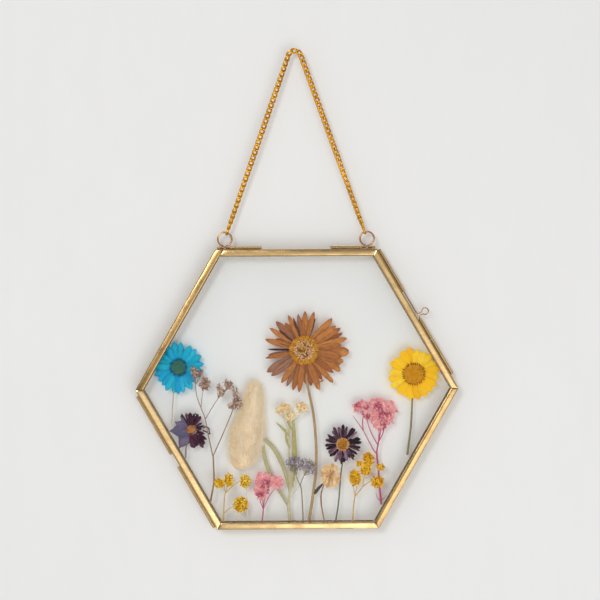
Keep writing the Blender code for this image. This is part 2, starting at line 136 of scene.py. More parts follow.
class FRAME_PG_stage(bpy.types.PropertyGroup):
    """The wall, the floor, the lights and the camera."""

    wall: colour_property("Wall", "Colour of the painted wall", "#F5F5F4")
    wall_gap: length_property("Wall gap", "From the seam of the leaves to the wall", 6.2 * MM)
    floor_drop: length_property("Floor drop", "From the hanging point down to the floor", 0.45)
    distance: length_property("Camera distance", "From the camera to the seam", 0.804)
    lens: FloatProperty(name="Lens", description="Focal length in millimetres", min=1, default=86.4)
    roll: FloatProperty(
        name="Camera roll", description="Turn of the camera about its view", subtype="ANGLE",
        default=radians(-0.4),
    )
    key: FloatProperty(name="Key light", description="Power in watts", unit="POWER", default=4.4)
    fill: FloatProperty(name="Fill light", description="Power in watts", unit="POWER", default=3.3)
    sky: FloatProperty(name="Surround", description="Strength of the pale surround", default=0.5)


# ---------------------------------------------------------------- node trees and materials


def node(tree, kind, inputs=None, **settings):
    """Add a node with its settings, and fill its inputs with values or links."""
    made = tree.nodes.new(kind)
    for key, value in settings.items():
        setattr(made, key, value)
    for key, value in (inputs or {}).items():
        if isinstance(value, bpy.types.NodeSocket):
            tree.links.new(value, made.inputs[key])
        else:
            made.inputs[key].default_value = value
    return made


def calc(tree, operation, *values):
    """A math node's result."""
    return node(tree, "ShaderNodeMath", dict(enumerate(values)), operation=operation).outputs[0]


def vector_calc(tree, operation, *values):
    """A vector math node, by its settings and values."""
    return node(tree, "ShaderNodeVectorMath", dict(enumerate(values)), operation=operation)


def spread(tree, value, low, high, to_low=0.0, to_high=1.0):
    """A value carried from one range to another, and kept inside it."""
    inputs = {"Value": value, 1: low, 2: high, 3: to_low, 4: to_high}
    return node(tree, "ShaderNodeMapRange", inputs).outputs[0]


def ramp(tree, factor, stops):
    """A colour ramp's result: stops are a place and a colour."""
    made = node(tree, "ShaderNodeValToRGB", {"Fac": factor})
    elements = made.color_ramp.elements
    while len(elements) < len(stops):
        elements.new(0.5)
    for element, (place, colour) in zip(elements, stops):
        element.position = place
        element.color = (*colour, 1.0)
    return made.outputs[0]


def mix(tree, factor, first, second, blend="MIX"):
    """Two colours mixed or blended."""
    first, second = (c if isinstance(c, bpy.types.NodeSocket) else (*c, 1.0) for c in (first, second))
    inputs = {0: factor, 6: first, 7: second}
    return node(tree, "ShaderNodeMix", inputs, data_type="RGBA", blend_type=blend).outputs[2]


def noise_value(tree, place, scale, detail=2.0, roughness=0.5):
    """A noise texture's value at a place."""
    inputs = {"Vector": place, "Scale": scale, "Detail": detail, "Roughness": roughness}
    return node(tree, "ShaderNodeTexNoise", inputs).outputs["Fac"]


def object_place(tree, stretch=(1, 1, 1), turn=(0, 0, 0)):
    """Object coordinates, turned and stretched."""
    coordinates = node(tree, "ShaderNodeTexCoord").outputs["Object"]
    inputs = {"Vector": coordinates, "Rotation": turn, "Scale": stretch}
    return node(tree, "ShaderNodeMapping", inputs).outputs[0]


def attribute(tree, name):
    """A named attribute's value."""
    return node(tree, "ShaderNodeAttribute", attribute_name=name).outputs["Fac"]


def new_material(name):
    """An empty node material: the material, its tree, its shader and its output."""
    material = bpy.data.materials.new(name)
    material.use_nodes = True
    tree = material.node_tree
    return material, tree, tree.nodes["Principled BSDF"], tree.nodes["Material Output"]


def join_in(tree, shader, **links):
    """Link values into a shader's sockets, named with _ for a space."""
    for name, value in links.items():
        tree.links.new(value, shader.inputs[name.replace("_", " ")])


def grey(level):
    """A grey as a colour."""
    return (level, level, level)


def brass_material(name, bright, dull, rough=(0.16, 0.34), turn=0.0, patina=0.5):
    """Rolled brass: dulled in patches, brushed along its length, and gently uneven."""
    material, tree, shader, _ = new_material(name)
    patches = noise_value(tree, object_place(tree), 95.0, 5.0, 0.62)
    specks = noise_value(tree, object_place(tree), 900.0, 3.0, 0.7)
    lengthwise = object_place(tree, (25, 900, 900), (0, radians(turn), 0))
    brushed = noise_value(tree, lengthwise, 1.0, 3.0, 0.6)
    colour = mix(tree, spread(tree, patches, 0.42, 0.72, 0.0, patina), bright, dull)
    colour = mix(tree, spread(tree, specks, 0.66, 0.78, 0.0, 0.6), colour, tuple(c * 0.45 for c in dull))
    colour = mix(tree, 1.0, colour, ramp(tree, brushed, [(0.3, grey(0.86)), (0.7, grey(1.0))]), "MULTIPLY")
    roughness = spread(tree, patches, 0.35, 0.75, *rough)
    height = calc(tree, "ADD", calc(tree, "MULTIPLY", brushed, 0.5), calc(tree, "MULTIPLY", patches, 1.5))
    bump = node(tree, "ShaderNodeBump", {"Strength": 0.25, "Distance": 0.0001, "Height": height}).outputs[0]
    join_in(tree, shader, Base_Color=colour, Roughness=roughness, Normal=bump)
    shader.inputs["Metallic"].default_value = 1.0
    return material


def glass_material(tint):
    """Thin clear pane: it lets nearly all light through, with a faint reflection and a few smears."""
    material, tree, shader, output = new_material("clear_pane")
    tree.nodes.remove(shader)
    through = node(tree, "ShaderNodeBsdfTransparent", {"Color": (*tint, 1.0)}).outputs[0]
    gloss = node(tree, "ShaderNodeBsdfGlossy", {"Color": (1, 1, 1, 1), "Roughness": 0.03}).outputs[0]
    dust = node(tree, "ShaderNodeBsdfDiffuse", {"Color": (0.8, 0.82, 0.8, 1)}).outputs[0]
    behind = node(tree, "ShaderNodeNewGeometry").outputs["Backfacing"]
    index = spread(tree, behind, 0.0, 1.0, 1.08, 1 / 1.08)
    edge = node(tree, "ShaderNodeFresnel", {"IOR": index}).outputs[0]
    clear = node(tree, "ShaderNodeMixShader", {0: edge, 1: through, 2: gloss}).outputs[0]
    smear = noise_value(tree, object_place(tree, (38, 38, 12)), 1.0, 6.0, 0.65)
    specks = noise_value(tree, object_place(tree), 700.0, 2.0, 0.8)
    film = calc(
        tree, "ADD", spread(tree, smear, 0.5, 0.8, 0.0, 0.004), spread(tree, specks, 0.78, 0.84, 0.0, 0.2)
    )
    whole = node(tree, "ShaderNodeMixShader", {0: film, 1: clear, 2: dust}).outputs[0]
    tree.links.new(whole, output.inputs["Surface"])
    return material


def plant_material(name, codes, along=(), edges=None, veins=7.0, mottle=0.3, rough=0.78, relief=0.5):
    """Dried plant: coloured by each copy's tint, shaded along and across, veined and mottled."""
    material, tree, shader, _ = new_material(name)
    tint, lengthwise, across = (attribute(tree, key) for key in ("tint", "along", "across"))
    colour = ramp(tree, tint, tint_stops(codes))
    if along:
        colour = mix(tree, 1.0, colour, ramp(tree, lengthwise, along), "MULTIPLY")
    if edges:
        rim = calc(tree, "POWER", calc(tree, "ABSOLUTE", across), 3.0)
        colour = mix(tree, calc(tree, "MULTIPLY", rim, edges[0]), colour, edges[1])
    parts = {
        "X": calc(tree, "MULTIPLY", lengthwise, 1.6),
        "Y": calc(tree, "MULTIPLY", across, veins),
        "Z": calc(tree, "MULTIPLY", tint, 61.0),
    }
    own_place = node(tree, "ShaderNodeCombineXYZ", parts).outputs[0]
    streaks = noise_value(tree, own_place, 1.3, 4.0, 0.6)
    spots = noise_value(tree, object_place(tree), 520.0, 5.0, 0.65)
    stops = [(0.28, grey(1 - mottle)), (0.52, grey(1.05)), (0.75, grey(1.05 + mottle * 0.5))]
    colour = mix(tree, 1.0, colour, ramp(tree, streaks, stops), "MULTIPLY")
    stops = [(0.3, grey(1 - mottle * 0.7)), (0.6, grey(1.05))]
    colour = mix(tree, 1.0, colour, ramp(tree, spots, stops), "MULTIPLY")
    height = calc(tree, "ADD", streaks, calc(tree, "MULTIPLY", spots, 0.6))
    inputs = {"Strength": relief, "Distance": 0.00018, "Height": height}
    bump = node(tree, "ShaderNodeBump", inputs).outputs[0]
    roughness = spread(tree, spots, 0.3, 0.7, rough - 0.12, rough + 0.12)
    join_in(tree, shader, Base_Color=colour, Roughness=roughness, Normal=bump)
    shader.inputs["Specular IOR Level"].default_value = 0.3
    shader.inputs["Sheen Weight"].default_value = 0.08
    return material


def tint_stops(codes):
    """Ramp stops spaced evenly from a run of hex codes or colours."""
    colours = [linear(code) if isinstance(code, str) else tuple(code) for code in codes]
    return [(i / max(len(colours) - 1, 1), colour) for i, colour in enumerate(colours)]


# ---------------------------------------------------------------- geometry node trees


def geometry_tree(name, inputs):
    """A new geometry tree with named inputs; returns the tree and its group input."""
    tree = bpy.data.node_groups.new(name, "GeometryNodeTree")
    tree.interface.new_socket("Geometry", in_out="INPUT", socket_type="NodeSocketGeometry")
    for label, kind, default in inputs:
        socket = tree.interface.new_socket(label, in_out="INPUT", socket_type=kind)
        if default is not None:
            socket.default_value = default
    tree.interface.new_socket("Geometry", in_out="OUTPUT", socket_type="NodeSocketGeometry")
    return tree, tree.nodes.new("NodeGroupInput")


def end_tree(tree, geometry, material):
    """Realize, give the finish, and send the geometry out."""
    whole = node(tree, "GeometryNodeRealizeInstances", {"Geometry": geometry}).outputs[0]
    whole = node(tree, "GeometryNodeSetMaterial", {"Geometry": whole, "Material": material}).outputs[0]
    tree.links.new(whole, tree.nodes.new("NodeGroupOutput").inputs[0])


def named(tree, name, kind):
    """A named attribute read in a geometry tree."""
    made = node(tree, "GeometryNodeInputNamedAttribute", {"Name": name}, data_type=kind)
    return made.outputs["Attribute"]


def shaken(tree, geometry, amount, coarseness, seed):
    """Move every point by a smooth random amount."""
    place = node(tree, "GeometryNodeInputPosition").outputs[0]
    inputs = {"Vector": place, "W": seed, "Scale": coarseness, "Detail": 1.0}
    drift = node(tree, "ShaderNodeTexNoise", inputs, noise_dimensions="4D").outputs["Color"]
    drift = vector_calc(tree, "SUBTRACT", drift, (0.5, 0.5, 0.5)).outputs[0]
    offset = vector_calc(tree, "MULTIPLY", drift, amount).outputs[0]
    return node(tree, "GeometryNodeSetPosition", {"Geometry": geometry, "Offset": offset}).outputs[0]


def copies_tree():
    """Copies of a shape on points that hold each copy's turn, size and tint."""
    inputs = (
        ("Shape", "NodeSocketObject", None),
        ("Crumple", "NodeSocketVector", (0, 0, 0)),
        ("Coarseness", "NodeSocketFloat", 300.0),
        ("Seed", "NodeSocketInt", 1),
        ("Finish", "NodeSocketMaterial", None),
    )
    tree, group = geometry_tree("copies_on_points", inputs)
    shape = node(tree, "GeometryNodeObjectInfo", {"Object": group.outputs["Shape"], "As Instance": True})
    turn = node(tree, "FunctionNodeEulerToRotation", {"Euler": named(tree, "turn", "FLOAT_VECTOR")})
    copies = {
        "Points": group.outputs["Geometry"],
        "Instance": shape.outputs["Geometry"],
        "Rotation": turn.outputs[0],
        "Scale": named(tree, "size", "FLOAT_VECTOR"),
    }
    placed = node(tree, "GeometryNodeInstanceOnPoints", copies).outputs[0]
    whole = node(tree, "GeometryNodeRealizeInstances", {"Geometry": placed}).outputs[0]
    outs = group.outputs
    whole = shaken(tree, whole, outs["Crumple"], outs["Coarseness"], outs["Seed"])
    end_tree(tree, whole, outs["Finish"])
    return tree


def stalk_tree():
    """A round stalk along each run, with its own thickness, slightly knotted and bent."""
    inputs = (
        ("Step", "NodeSocketFloat", 0.6 * MM),
        ("Sides", "NodeSocketInt", 8),
        ("Wander", "NodeSocketVector", (0.1 * MM, 0.04 * MM, 0.1 * MM)),
        ("Seed", "NodeSocketInt", 1),
        ("Finish", "NodeSocketMaterial", None),
    )
    tree, group = geometry_tree("stalk_along_runs", inputs)
    outs = group.outputs
    run = {"Curve": outs["Geometry"], "Length": outs["Step"]}
    runs = node(tree, "GeometryNodeResampleCurve", run, mode="LENGTH").outputs[0]
    parameter = node(tree, "GeometryNodeSplineParameter").outputs["Factor"]
    inputs = {"Geometry": runs, "Name": "along", "Value": parameter}
    runs = node(tree, "GeometryNodeStoreNamedAttribute", inputs, data_type="FLOAT",
        domain="POINT").outputs[0]
    circle = {"Resolution": outs["Sides"], "Radius": 1.0}
    ring = node(tree, "GeometryNodeCurvePrimitiveCircle", circle, mode="RADIUS").outputs[0]
    round_way = node(tree, "GeometryNodeSplineParameter").outputs["Factor"]
    inputs = {"Geometry": ring, "Name": "across", "Value": round_way}
    ring = node(tree, "GeometryNodeStoreNamedAttribute", inputs, data_type="FLOAT",
        domain="POINT").outputs[0]
    radius = node(tree, "GeometryNodeInputRadius").outputs[0]
    inputs = {"Curve": runs, "Profile Curve": ring, "Scale": radius, "Fill Caps": True}
    tube = node(tree, "GeometryNodeCurveToMesh", inputs).outputs[0]
    tube = shaken(tree, tube, outs["Wander"], 420.0, outs["Seed"])
    tube = node(tree, "GeometryNodeSetShadeSmooth", {"Geometry": tube}).outputs[0]
    end_tree(tree, tube, outs["Finish"])
    return tree


def links_tree():
    """Links set along a path at an even pitch, each turned about the path by its tilt."""
    inputs = (
        ("Link", "NodeSocketObject", None),
        ("Count", "NodeSocketInt", 70),
        ("Finish", "NodeSocketMaterial", None),
    )
    tree, group = geometry_tree("links_along_path", inputs)
    run = {"Curve": group.outputs["Geometry"], "Count": group.outputs["Count"]}
    path = node(tree, "GeometryNodeResampleCurve", run, mode="COUNT").outputs[0]
    tangent = node(tree, "GeometryNodeInputTangent").outputs[0]
    along = node(tree, "FunctionNodeAlignRotationToVector", {"Vector": tangent}, axis="X", pivot_axis="Y")
    tilt = node(tree, "GeometryNodeInputCurveTilt").outputs[0]
    roll = node(tree, "FunctionNodeAxisAngleToRotation", {"Axis": (1, 0, 0), "Angle": tilt}).outputs[0]
    inputs = {"Rotation": along.outputs[0], "Rotate By": roll}
    turn = node(tree, "FunctionNodeRotateRotation", inputs, rotation_space="LOCAL").outputs[0]
    link = node(tree, "GeometryNodeObjectInfo", {"Object": group.outputs["Link"], "As Instance": True})
    copies = {"Points": path, "Instance": link.outputs["Geometry"], "Rotation": turn}
    placed = node(tree, "GeometryNodeInstanceOnPoints", copies).outputs[0]
    end_tree(tree, placed, group.outputs["Finish"])
    return tree


def tree_named(name, maker):
    """A tree by name, built on first use."""
    return bpy.data.node_groups.get(name) or maker()


def linked(name, data):
    """A new object in the scene."""
    thing = bpy.data.objects.new(name, data)
    bpy.context.scene.collection.objects.link(thing)
    return thing


def grown(name, seed_object, tree, values):
    """Run a geometry tree on an object, and keep its result as a plain mesh object."""
    modifier = seed_object.modifiers.new("grown", "NODES")
    modifier.node_group = tree
    for item in tree.interface.items_tree:
        if item.in_out == "INPUT" and item.name in values:
            modifier[item.identifier] = values[item.name]
    graph = bpy.context.evaluated_depsgraph_get()
    mesh = bpy.data.meshes.new_from_object(seed_object.evaluated_get(graph), depsgraph=graph)
    seed_object.modifiers.remove(modifier)
    bpy.data.objects.remove(seed_object)
    return linked(name, mesh)


def copies(name, shape, spots, finish, crumple=0.0, coarseness=300.0, seed=1):
    """Copies of a shape mesh on spots, each a place, a turn, a size and a tint, crumpled by some mm."""
    mesh = bpy.data.meshes.new(name + "_spots")
    mesh.from_pydata([spot[0] for spot in spots], [], [])
    for column, key in enumerate(("turn", "size"), 1):
        values = [part for spot in spots for part in spot[column]]
        mesh.attributes.new(key, "FLOAT_VECTOR", "POINT").data.foreach_set("vector", values)
    mesh.attributes.new("tint", "FLOAT", "POINT").data.foreach_set("value", [spot[3] for spot in spots])
    pattern = linked(name + "_shape", shape)
    push = crumple if isinstance(crumple, tuple) else (crumple,) * 3
    values = {
        "Shape": pattern, "Crumple": tuple(part * MM for part in push), "Coarseness": coarseness,
        "Seed": seed, "Finish": finish,
    }
    tree = tree_named("copies_on_points", copies_tree)
    piece = grown(name, linked(name + "_seed", mesh), tree, values)
    bpy.data.objects.remove(pattern)
    for key in ("turn", "size"):
        layer = piece.data.attributes.get(key)
        if layer:
            piece.data.attributes.remove(layer)
    return piece


def curve_through(name, routes):
    """A curve with one straight-stepped run through each list of points, in metres."""
    curve = bpy.data.curves.new(name, "CURVE")
    curve.dimensions = "3D"
    for points in routes:
        spline = curve.splines.new("POLY")
        spline.points.add(len(points) - 1)
        for knot, point in zip(spline.points, points):
            knot.co = (*point, 1)
    return curve


def stalks(name, runs, finish, seed=1, step=0.6, sides=8, wander=0.12):
    """Stalks along runs, each its points in the plane, its layer, and its first and last radius in mm."""
    routes = [smooth_run([spot_at(x, z, layer) for x, z in points]) for points, layer, _, _ in runs]
    curve = curve_through(name + "_runs", routes)
    for spline, (_, _, first, last) in zip(curve.splines, runs):
        for i, knot in enumerate(spline.points):
            knot.radius = (first + (last - first) * i / (len(spline.points) - 1)) * MM
    values = {
        "Step": step * MM, "Sides": sides, "Wander": (wander * MM, wander * 0.4 * MM, wander * MM),
        "Seed": seed, "Finish": finish,
    }
    piece = grown(name, linked(name + "_seed", curve), tree_named("stalk_along_runs", stalk_tree), values)
    for vertex in piece.data.vertices:
        vertex.co.y = runs[0][1] + (vertex.co.y - runs[0][1]) * 0.62
    tinted(piece.data, 0.3, 0.9)
    return piece


# ---------------------------------------------------------------- shapes


def spot_at(x, z, layer=0.0):
    """A place in the hexagon's plane, in mm from its centre, in one of the layers."""
    return Vector((x * MM, layer, CENTRE_Z + z * MM))


def smooth_run(points, steps=6):
    """Points on a smooth curve through the given ones."""
    knots = [Vector(point) for point in points]
    knots = [knots[0] * 2 - knots[1]] + knots + [knots[-1] * 2 - knots[-2]]
    run = []
    for before, start, end, after in zip(knots, knots[1:], knots[2:], knots[3:]):
        for i in range(steps):
            t = i / steps
            bend = (before * 2 - start * 5 + end * 4 - after) * t * t
            bend += (start * 3 - before - end * 3 + after) * t**3
            run.append((start * 2 + (end - before) * t + bend) / 2)
    run.append(knots[-2])
    return run


def mesh_of(shape, name, angle=None):
    """A bmesh made a smooth mesh, sharp where faces meet at more than an angle if one is given."""
    mesh = bpy.data.meshes.new(name)
    shape.to_mesh(mesh)
    shape.free()
    mesh.shade_smooth()
    if angle:
        mesh.set_sharp_from_angle(angle=radians(angle))
    return mesh


def ring_mesh(name, rings, angle=None, closed=False):
    """A mesh over rings of points: closed joins the last ring to the first, or else both are capped."""
    shape = bmesh.new()
    rings = [[shape.verts.new(point) for point in ring] for ring in rings]
    count = len(rings[0])
    for first, second in zip(rings, rings[1:] + rings[:1] * closed):
        for k in range(count):
            ahead = (k + 1) % count
            shape.faces.new((first[k], first[ahead], second[ahead], second[k]))
    if not closed:
        shape.faces.new(rings[0][::-1])
        shape.faces.new(rings[-1])
    bmesh.ops.recalc_face_normals(shape, faces=shape.faces)
    return mesh_of(shape, name, angle)


def wobble(*place):
    """Smooth noise at a place, from about -1 to 1."""
    return noise.noise(Vector(place))


def sheet_mesh(name, rows, columns, surface, thickness):
    """A thin closed leaf: surface gives a point for t along and s across; thickness its half depth."""
    vertices, front, back = [], {}, {}
    along, across, rim = [], [], set()
    for i in range(rows + 1):
        for j in range(columns + 1):
            t, s = i / rows, 2 * j / columns - 1
            point = Vector(surface(t, s))
            on_rim = i in (0, rows) or j in (0, columns)
            depth = 0 if on_rim else thickness * (1 - 0.4 * s * s)
            front[i, j] = len(vertices)
            vertices.append(point - Vector((0, depth, 0)))
            along.append(t)
            across.append(s)
            back[i, j] = front[i, j]
            if on_rim:
                rim.add(front[i, j])
            else:
                back[i, j] = len(vertices)
                vertices.append(point + Vector((0, depth, 0)))
                along.append(t)
                across.append(s)
    faces = []
    for i in range(rows):
        for j in range(columns):
            corners = ((i, j), (i + 1, j), (i + 1, j + 1), (i, j + 1))
            faces.append([front[c] for c in corners])
            faces.append([back[c] for c in reversed(corners)])
    mesh = bpy.data.meshes.new(name)
    mesh.from_pydata(vertices, [], faces)
    mesh.attributes.new("along", "FLOAT", "POINT").data.foreach_set("value", along)
    mesh.attributes.new("across", "FLOAT", "POINT").data.foreach_set("value", across)
    mesh.shade_smooth()
    for edge in mesh.edges:
        edge.use_edge_sharp = rim.issuperset(edge.vertices)
    return mesh


def petal_shape(name, base=0.35, shoulder=0.6, point=0.5, teeth=0, bite=0.0, ribs=0.0, curl=0.0, rows=9,
                columns=6, thickness=0.1, tip=0.06):
    """A petal one unit long along X and one wide along Z, lying in the plane, its root at the origin."""

    def surface(t, s):
        opened = base + (1 - base) * sin(min(t / shoulder, 1) * pi / 2)
        closing = max(0.0, (t - shoulder) / (1 - shoulder))
        half = max(opened * (1 - closing**2) ** point, tip) / 2
        notch = bite * cos(teeth * pi * s) * t**5 if teeth else 0.0
        ripple = ribs * cos(3 * pi * s) * sin(pi * min(t * 1.1, 1))
        return (t * (1 + notch), ripple + curl * s * s * t, half * s)

    return sheet_mesh(name, rows, columns, surface, thickness)


def ball(around, rings, radius, axis):
    """A ball with its poles laid over about an axis, its points and faces in the same order each run."""
    shape = bmesh.new()
    bmesh.ops.create_uvsphere(shape, u_segments=around, v_segments=rings, radius=radius)
    bmesh.ops.rotate(shape, verts=shape.verts, matrix=Matrix.Rotation(pi / 2, 3, axis))
    order = Vector((1.0, 3.7, 13.9))  # uneven parts, so that no two points or faces rank the same
    shape.verts.sort(key=lambda vertex: vertex.co.dot(order))
    shape.faces.sort(key=lambda face: face.calc_center_median().dot(order))
    return shape


def bud_shape(name="bud", around=6, rings=4, blunt=1.0):
    """A small egg one unit long along X, its foot at the origin."""
    shape = ball(around, rings, 0.5, "Y")
    for vertex in shape.verts:
        vertex.co.x += 0.5
        swell = 1 + blunt * 0.5 * (vertex.co.x - 0.5)
        vertex.co.y *= swell
        vertex.co.z *= swell
    layer = shape.verts.layers.float.new("along")
    for vertex in shape.verts:
        vertex[layer] = vertex.co.x
    return mesh_of(shape, name)


def floret_shape(name="floret", arms=5, width=0.5, rows=2):
    """A tiny open flower: a few round petals about the origin, facing -Y, one unit across."""
    whole = bmesh.new()
    for i in range(arms):
        arm = petal_shape("arm", base=0.4, shoulder=0.6, rows=rows, columns=2, thickness=0.05)
        arm.transform(Matrix.Rotation(0.25, 4, "Z") @ Matrix.Diagonal((0.5, 1, width, 1)))
        arm.transform(Matrix.Rotation(2 * pi * i / arms, 4, "Y"))
        whole.from_mesh(arm)
        bpy.data.meshes.remove(arm)
    return mesh_of(whole, name)


def hair_shape(name="hair", steps=4, bow=0.12):
    """A fine three-sided hair one unit long along X, bowed, tapering to its tip."""
    vertices = []
    for i in range(steps):
        t = i / steps
        for k in range(3):
            turn = 2 * pi * k / 3
            half = 0.5 * (1 - t) ** 0.7 + 0.12
            vertices.append((t, half * cos(turn), bow * 10 * t * t + half * sin(turn)))
    vertices.append((1, 0, bow * 10))
    faces = [(2, 1, 0)]
    for i in range(steps - 1):
        for k in range(3):
            a, b = 3 * i + k, 3 * i + (k + 1) % 3
            faces.append((a, b, b + 3, a + 3))
    top = 3 * (steps - 1)
    faces += [(top + k, top + (k + 1) % 3, top + 3) for k in range(3)]
    mesh = bpy.data.meshes.new(name)
    mesh.from_pydata(vertices, [], faces)
    mesh.attributes.new("along", "FLOAT", "POINT").data.foreach_set("value", [v[0] for v in vertices])
    shape = bmesh.new()
    shape.from_mesh(mesh)
    bmesh.ops.recalc_face_normals(shape, faces=shape.faces)
    shape.to_mesh(mesh)
    shape.free()
    mesh.shade_smooth()
    return mesh


def blade(name, points, width, layer, finish, thickness=0.16, tip=0.12, fold=0.15):
    """A long leaf along a run, widest before its middle, slightly folded along its midrib."""
    run = smooth_run([spot_at(x, z, layer) for x, z in points], 8)
    last = len(run) - 1

    def surface(t, s):
        i = min(int(round(t * last)), last)
        ahead = (run[min(i + 1, last)] - run[max(i - 1, 0)]).normalized()
        side = Vector((-ahead.z, 0, ahead.x))
        half = width * MM / 2 * max(sin(pi * (0.16 + 0.8 * t)) ** 0.6, tip)
        sway = noise.noise(run[i] * 400) * 0.12 * MM
        return run[i] + side * (half * s + sway) + Vector((0, fold * MM * abs(s), 0))

    mesh = tinted(sheet_mesh(name, last, 6, surface, thickness * MM / 2))
    mesh.materials.append(finish)
    return linked(name, mesh)


def dome(name, centre, layer, radius, height, finish, rings=24):
    """A low closed cushion lying in the plane, in mm."""
    shape = ball(rings, 10, 1, "X")
    wide, tall = radius if isinstance(radius, tuple) else (radius, radius)
    place = spot_at(*centre, layer)
    for vertex in shape.verts:
        sway = 1 + 0.05 * noise.noise(vertex.co * 2.2 + place * 900)
        vertex.co = place + Vector((
            vertex.co.x * wide * MM * sway, vertex.co.y * height * MM, vertex.co.z * tall * MM * sway
        ))
    mesh = tinted(mesh_of(shape, name))
    mesh.materials.append(finish)
    return linked(name, mesh)


def rays(centre, layer, petals, start, draw, roll=9.0, thickness=1.0, step=0.13):
    """Spots for petals out from a centre: each is an angle, its tip's distance, a width and a tint."""
    spots = []
    for rank, (angle, reach, width, tint) in enumerate(petals):
        turn = radians(angle)
        root = (centre[0] + start * cos(turn), centre[1] + start * sin(turn))
        place = spot_at(*root, layer + (rank % 3 - 1) * step * MM)
        lean = radians(draw.uniform(-roll, roll))
        size = ((reach - start) * MM, thickness * MM, width * MM)
        spots.append((place, (lean, -turn, 0), size, tint))
    return spots


def spiral(centre, layer, inner, outer, count, size, rise, draw, shade=None):
    """Spots for seeds packed in a spiral: sizes are length, width and width in mm."""
    spots = []
    wide, tall = outer if isinstance(outer, tuple) else (outer, outer)
    for i in range(count):
        way = (i + 0.5) / count
        reach = sqrt(inner**2 + (1 - inner**2) * way)
        turn = i * GOLDEN_ANGLE + draw.uniform(-0.1, 0.1)
        x, z = wide * reach * cos(turn), tall * reach * sin(turn)
        place = spot_at(centre[0] + x, centre[1] + z, layer - rise * MM * sqrt(1 - 0.95 * reach**2))
        lean = radians(90 - 55 * reach)
        facing = Matrix.Rotation(-turn, 3, "Y") @ Matrix.Rotation(-lean, 3, "Z")
        grown_by = draw.uniform(0.8, 1.2)
        tint = shade(reach, draw) if shade else draw.random()
        spots.append((place, tuple(facing.to_euler()), tuple(grown_by * part * MM for part in size), tint))
    return spots


def tuft(patches, layer, per_mm2, size, draw, tint, depth=0.35, flat=25.0, density=1.0):
    """Spots spread over patches, each a centre and two half widths in mm, turned at random."""
    spots = []
    for x, z, wide, tall in patches:
        for _ in range(max(3, int(pi * wide * tall * per_mm2 * density))):
            turn, reach = draw.uniform(0, 2 * pi), sqrt(draw.random())
            bulge = depth * (1 - reach**2)
            place = spot_at(
                x + wide * reach * cos(turn), z + tall * reach * sin(turn),
                layer + (draw.uniform(-0.25, 0.25) - bulge * draw.random()) * MM,
            )
            lean = [radians(draw.uniform(-flat, flat)) for _ in range(2)]
            grown_by = draw.uniform(0.7, 1.25)
            euler = (lean[0], draw.uniform(0, 2 * pi), lean[1])
            spots.append((place, euler, tuple(part * grown_by * MM for part in size), draw.uniform(*tint)))
    return spots


def fan(foot, tips, layer, first, last, draw, bend=0.6):
    """Runs of fine twigs from a foot to each tip."""
    runs = []
    for x, z in tips:
        middle = ((foot[0] + x) / 2 + draw.uniform(-bend, bend), (foot[1] + z) / 2)
        runs.append(((foot, middle, (x, z)), layer, first, last))
    return runs


def tinted(mesh, low=0.45, high=0.75):
    """Give every point of a mesh a tint that drifts slowly from place to place."""
    values = []
    for vertex in mesh.vertices:
        drift = noise.noise(vertex.co * 90) * 0.5 + 0.5
        values.append(low + (high - low) * drift)
    mesh.attributes.new("tint", "FLOAT", "POINT").data.foreach_set("value", values)
    return mesh


def joined(name, pieces):
    """Several objects made one, with all their materials."""
    with bpy.context.temp_override(active_object=pieces[0], selected_editable_objects=pieces):
        bpy.ops.object.join()
    pieces[0].name = name
    return pieces[0]


def present(piece, body, slot, *nodes):
    """Put a finished piece on its body, in place of the nodes it stands for. The slot argument is not used.
    """
    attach(piece, body)
    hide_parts(*nodes)
    return piece


def press(piece, node_name):
    """Put a finished specimen on the back leaf, in place of the CAD node of the given name."""
    return present(piece, "back_leaf", node_name, node_name)


def settings():
    """The add-on's settings in this scene."""
    return bpy.context.scene.pressed_frame


def seeded(number):
    """The specimens' settings, and a source of random draws for one specimen or pair."""
    plants = settings().specimens
    return plants, random.Random(plants.seed + number)


def shared_material(name, maker, *values, **words):
    """A material by name, made on first use."""
    return bpy.data.materials.get(name) or maker(name, *values, **words)


def brass_of(turn=0.0, painted_dimming=0.0):
    """The brass finish, brushed along a bar turned by some degrees: darkened as painted shade above 0,
    paler as painted highlight below.
    """
    work = settings().brasswork
    bright, dull = Vector(work.brass), Vector(work.tarnish_and_shade)
    # The dimming value darkens the whole bar's brass as painted shade above 0, and lightens it as painted
    # highlight below 0.
    name = f"brass_{int(turn)}_{int(painted_dimming * 100)}"
    return shared_material(
        name, brass_material, tuple(bright.lerp(dull, painted_dimming * 0.75)), tuple(dull * (1 - 0.35 * painted_dimming)),
        turn=turn
    )


# ---------------------------------------------------------------- brasswork

SHEET = 0.5  # all in mm
FOLD = 1.0
BARREL_RADIUS = 0.9
BARREL_BORE = 0.42
SOLDER_GAP = 0.12
WIRE = 0.33
EYE_X = 39.7
EYE_WIRE = 0.5
EYE_RADIUS = 3.9
EYE_BEND = 0.55
EYE_BEND_X = 1.15
EYE_FOOT_OUT = 3.9
EYE_FOOT_IN = 8.0
HANGER_TUBE_RADIUS = 0.82
HANGER_TUBE_BORE = 0.56
EYE_RISE = 2 * EYE_BEND + sqrt(EYE_RADIUS**2 - EYE_BEND_X**2)
PIN_FOOT, PIN_TIP = 59.0, 18.3  # the clasp pin's ends, along its side from the right corner
LOOP_ALONG, LOOP_OUT = 43.8, 4.7  # its finger loop's middle
LOOP_RADIUS, LOOP_OPENING = 1.85, 27  # and its size, with half its opening in degrees
SLOT_HALF, SLOT_FLOOR = 2.6, -0.53  # of the slot that each eye swings in
ARCH_RADIUS = 3.65
ARCH_Z = 1.05 - ARCH_RADIUS
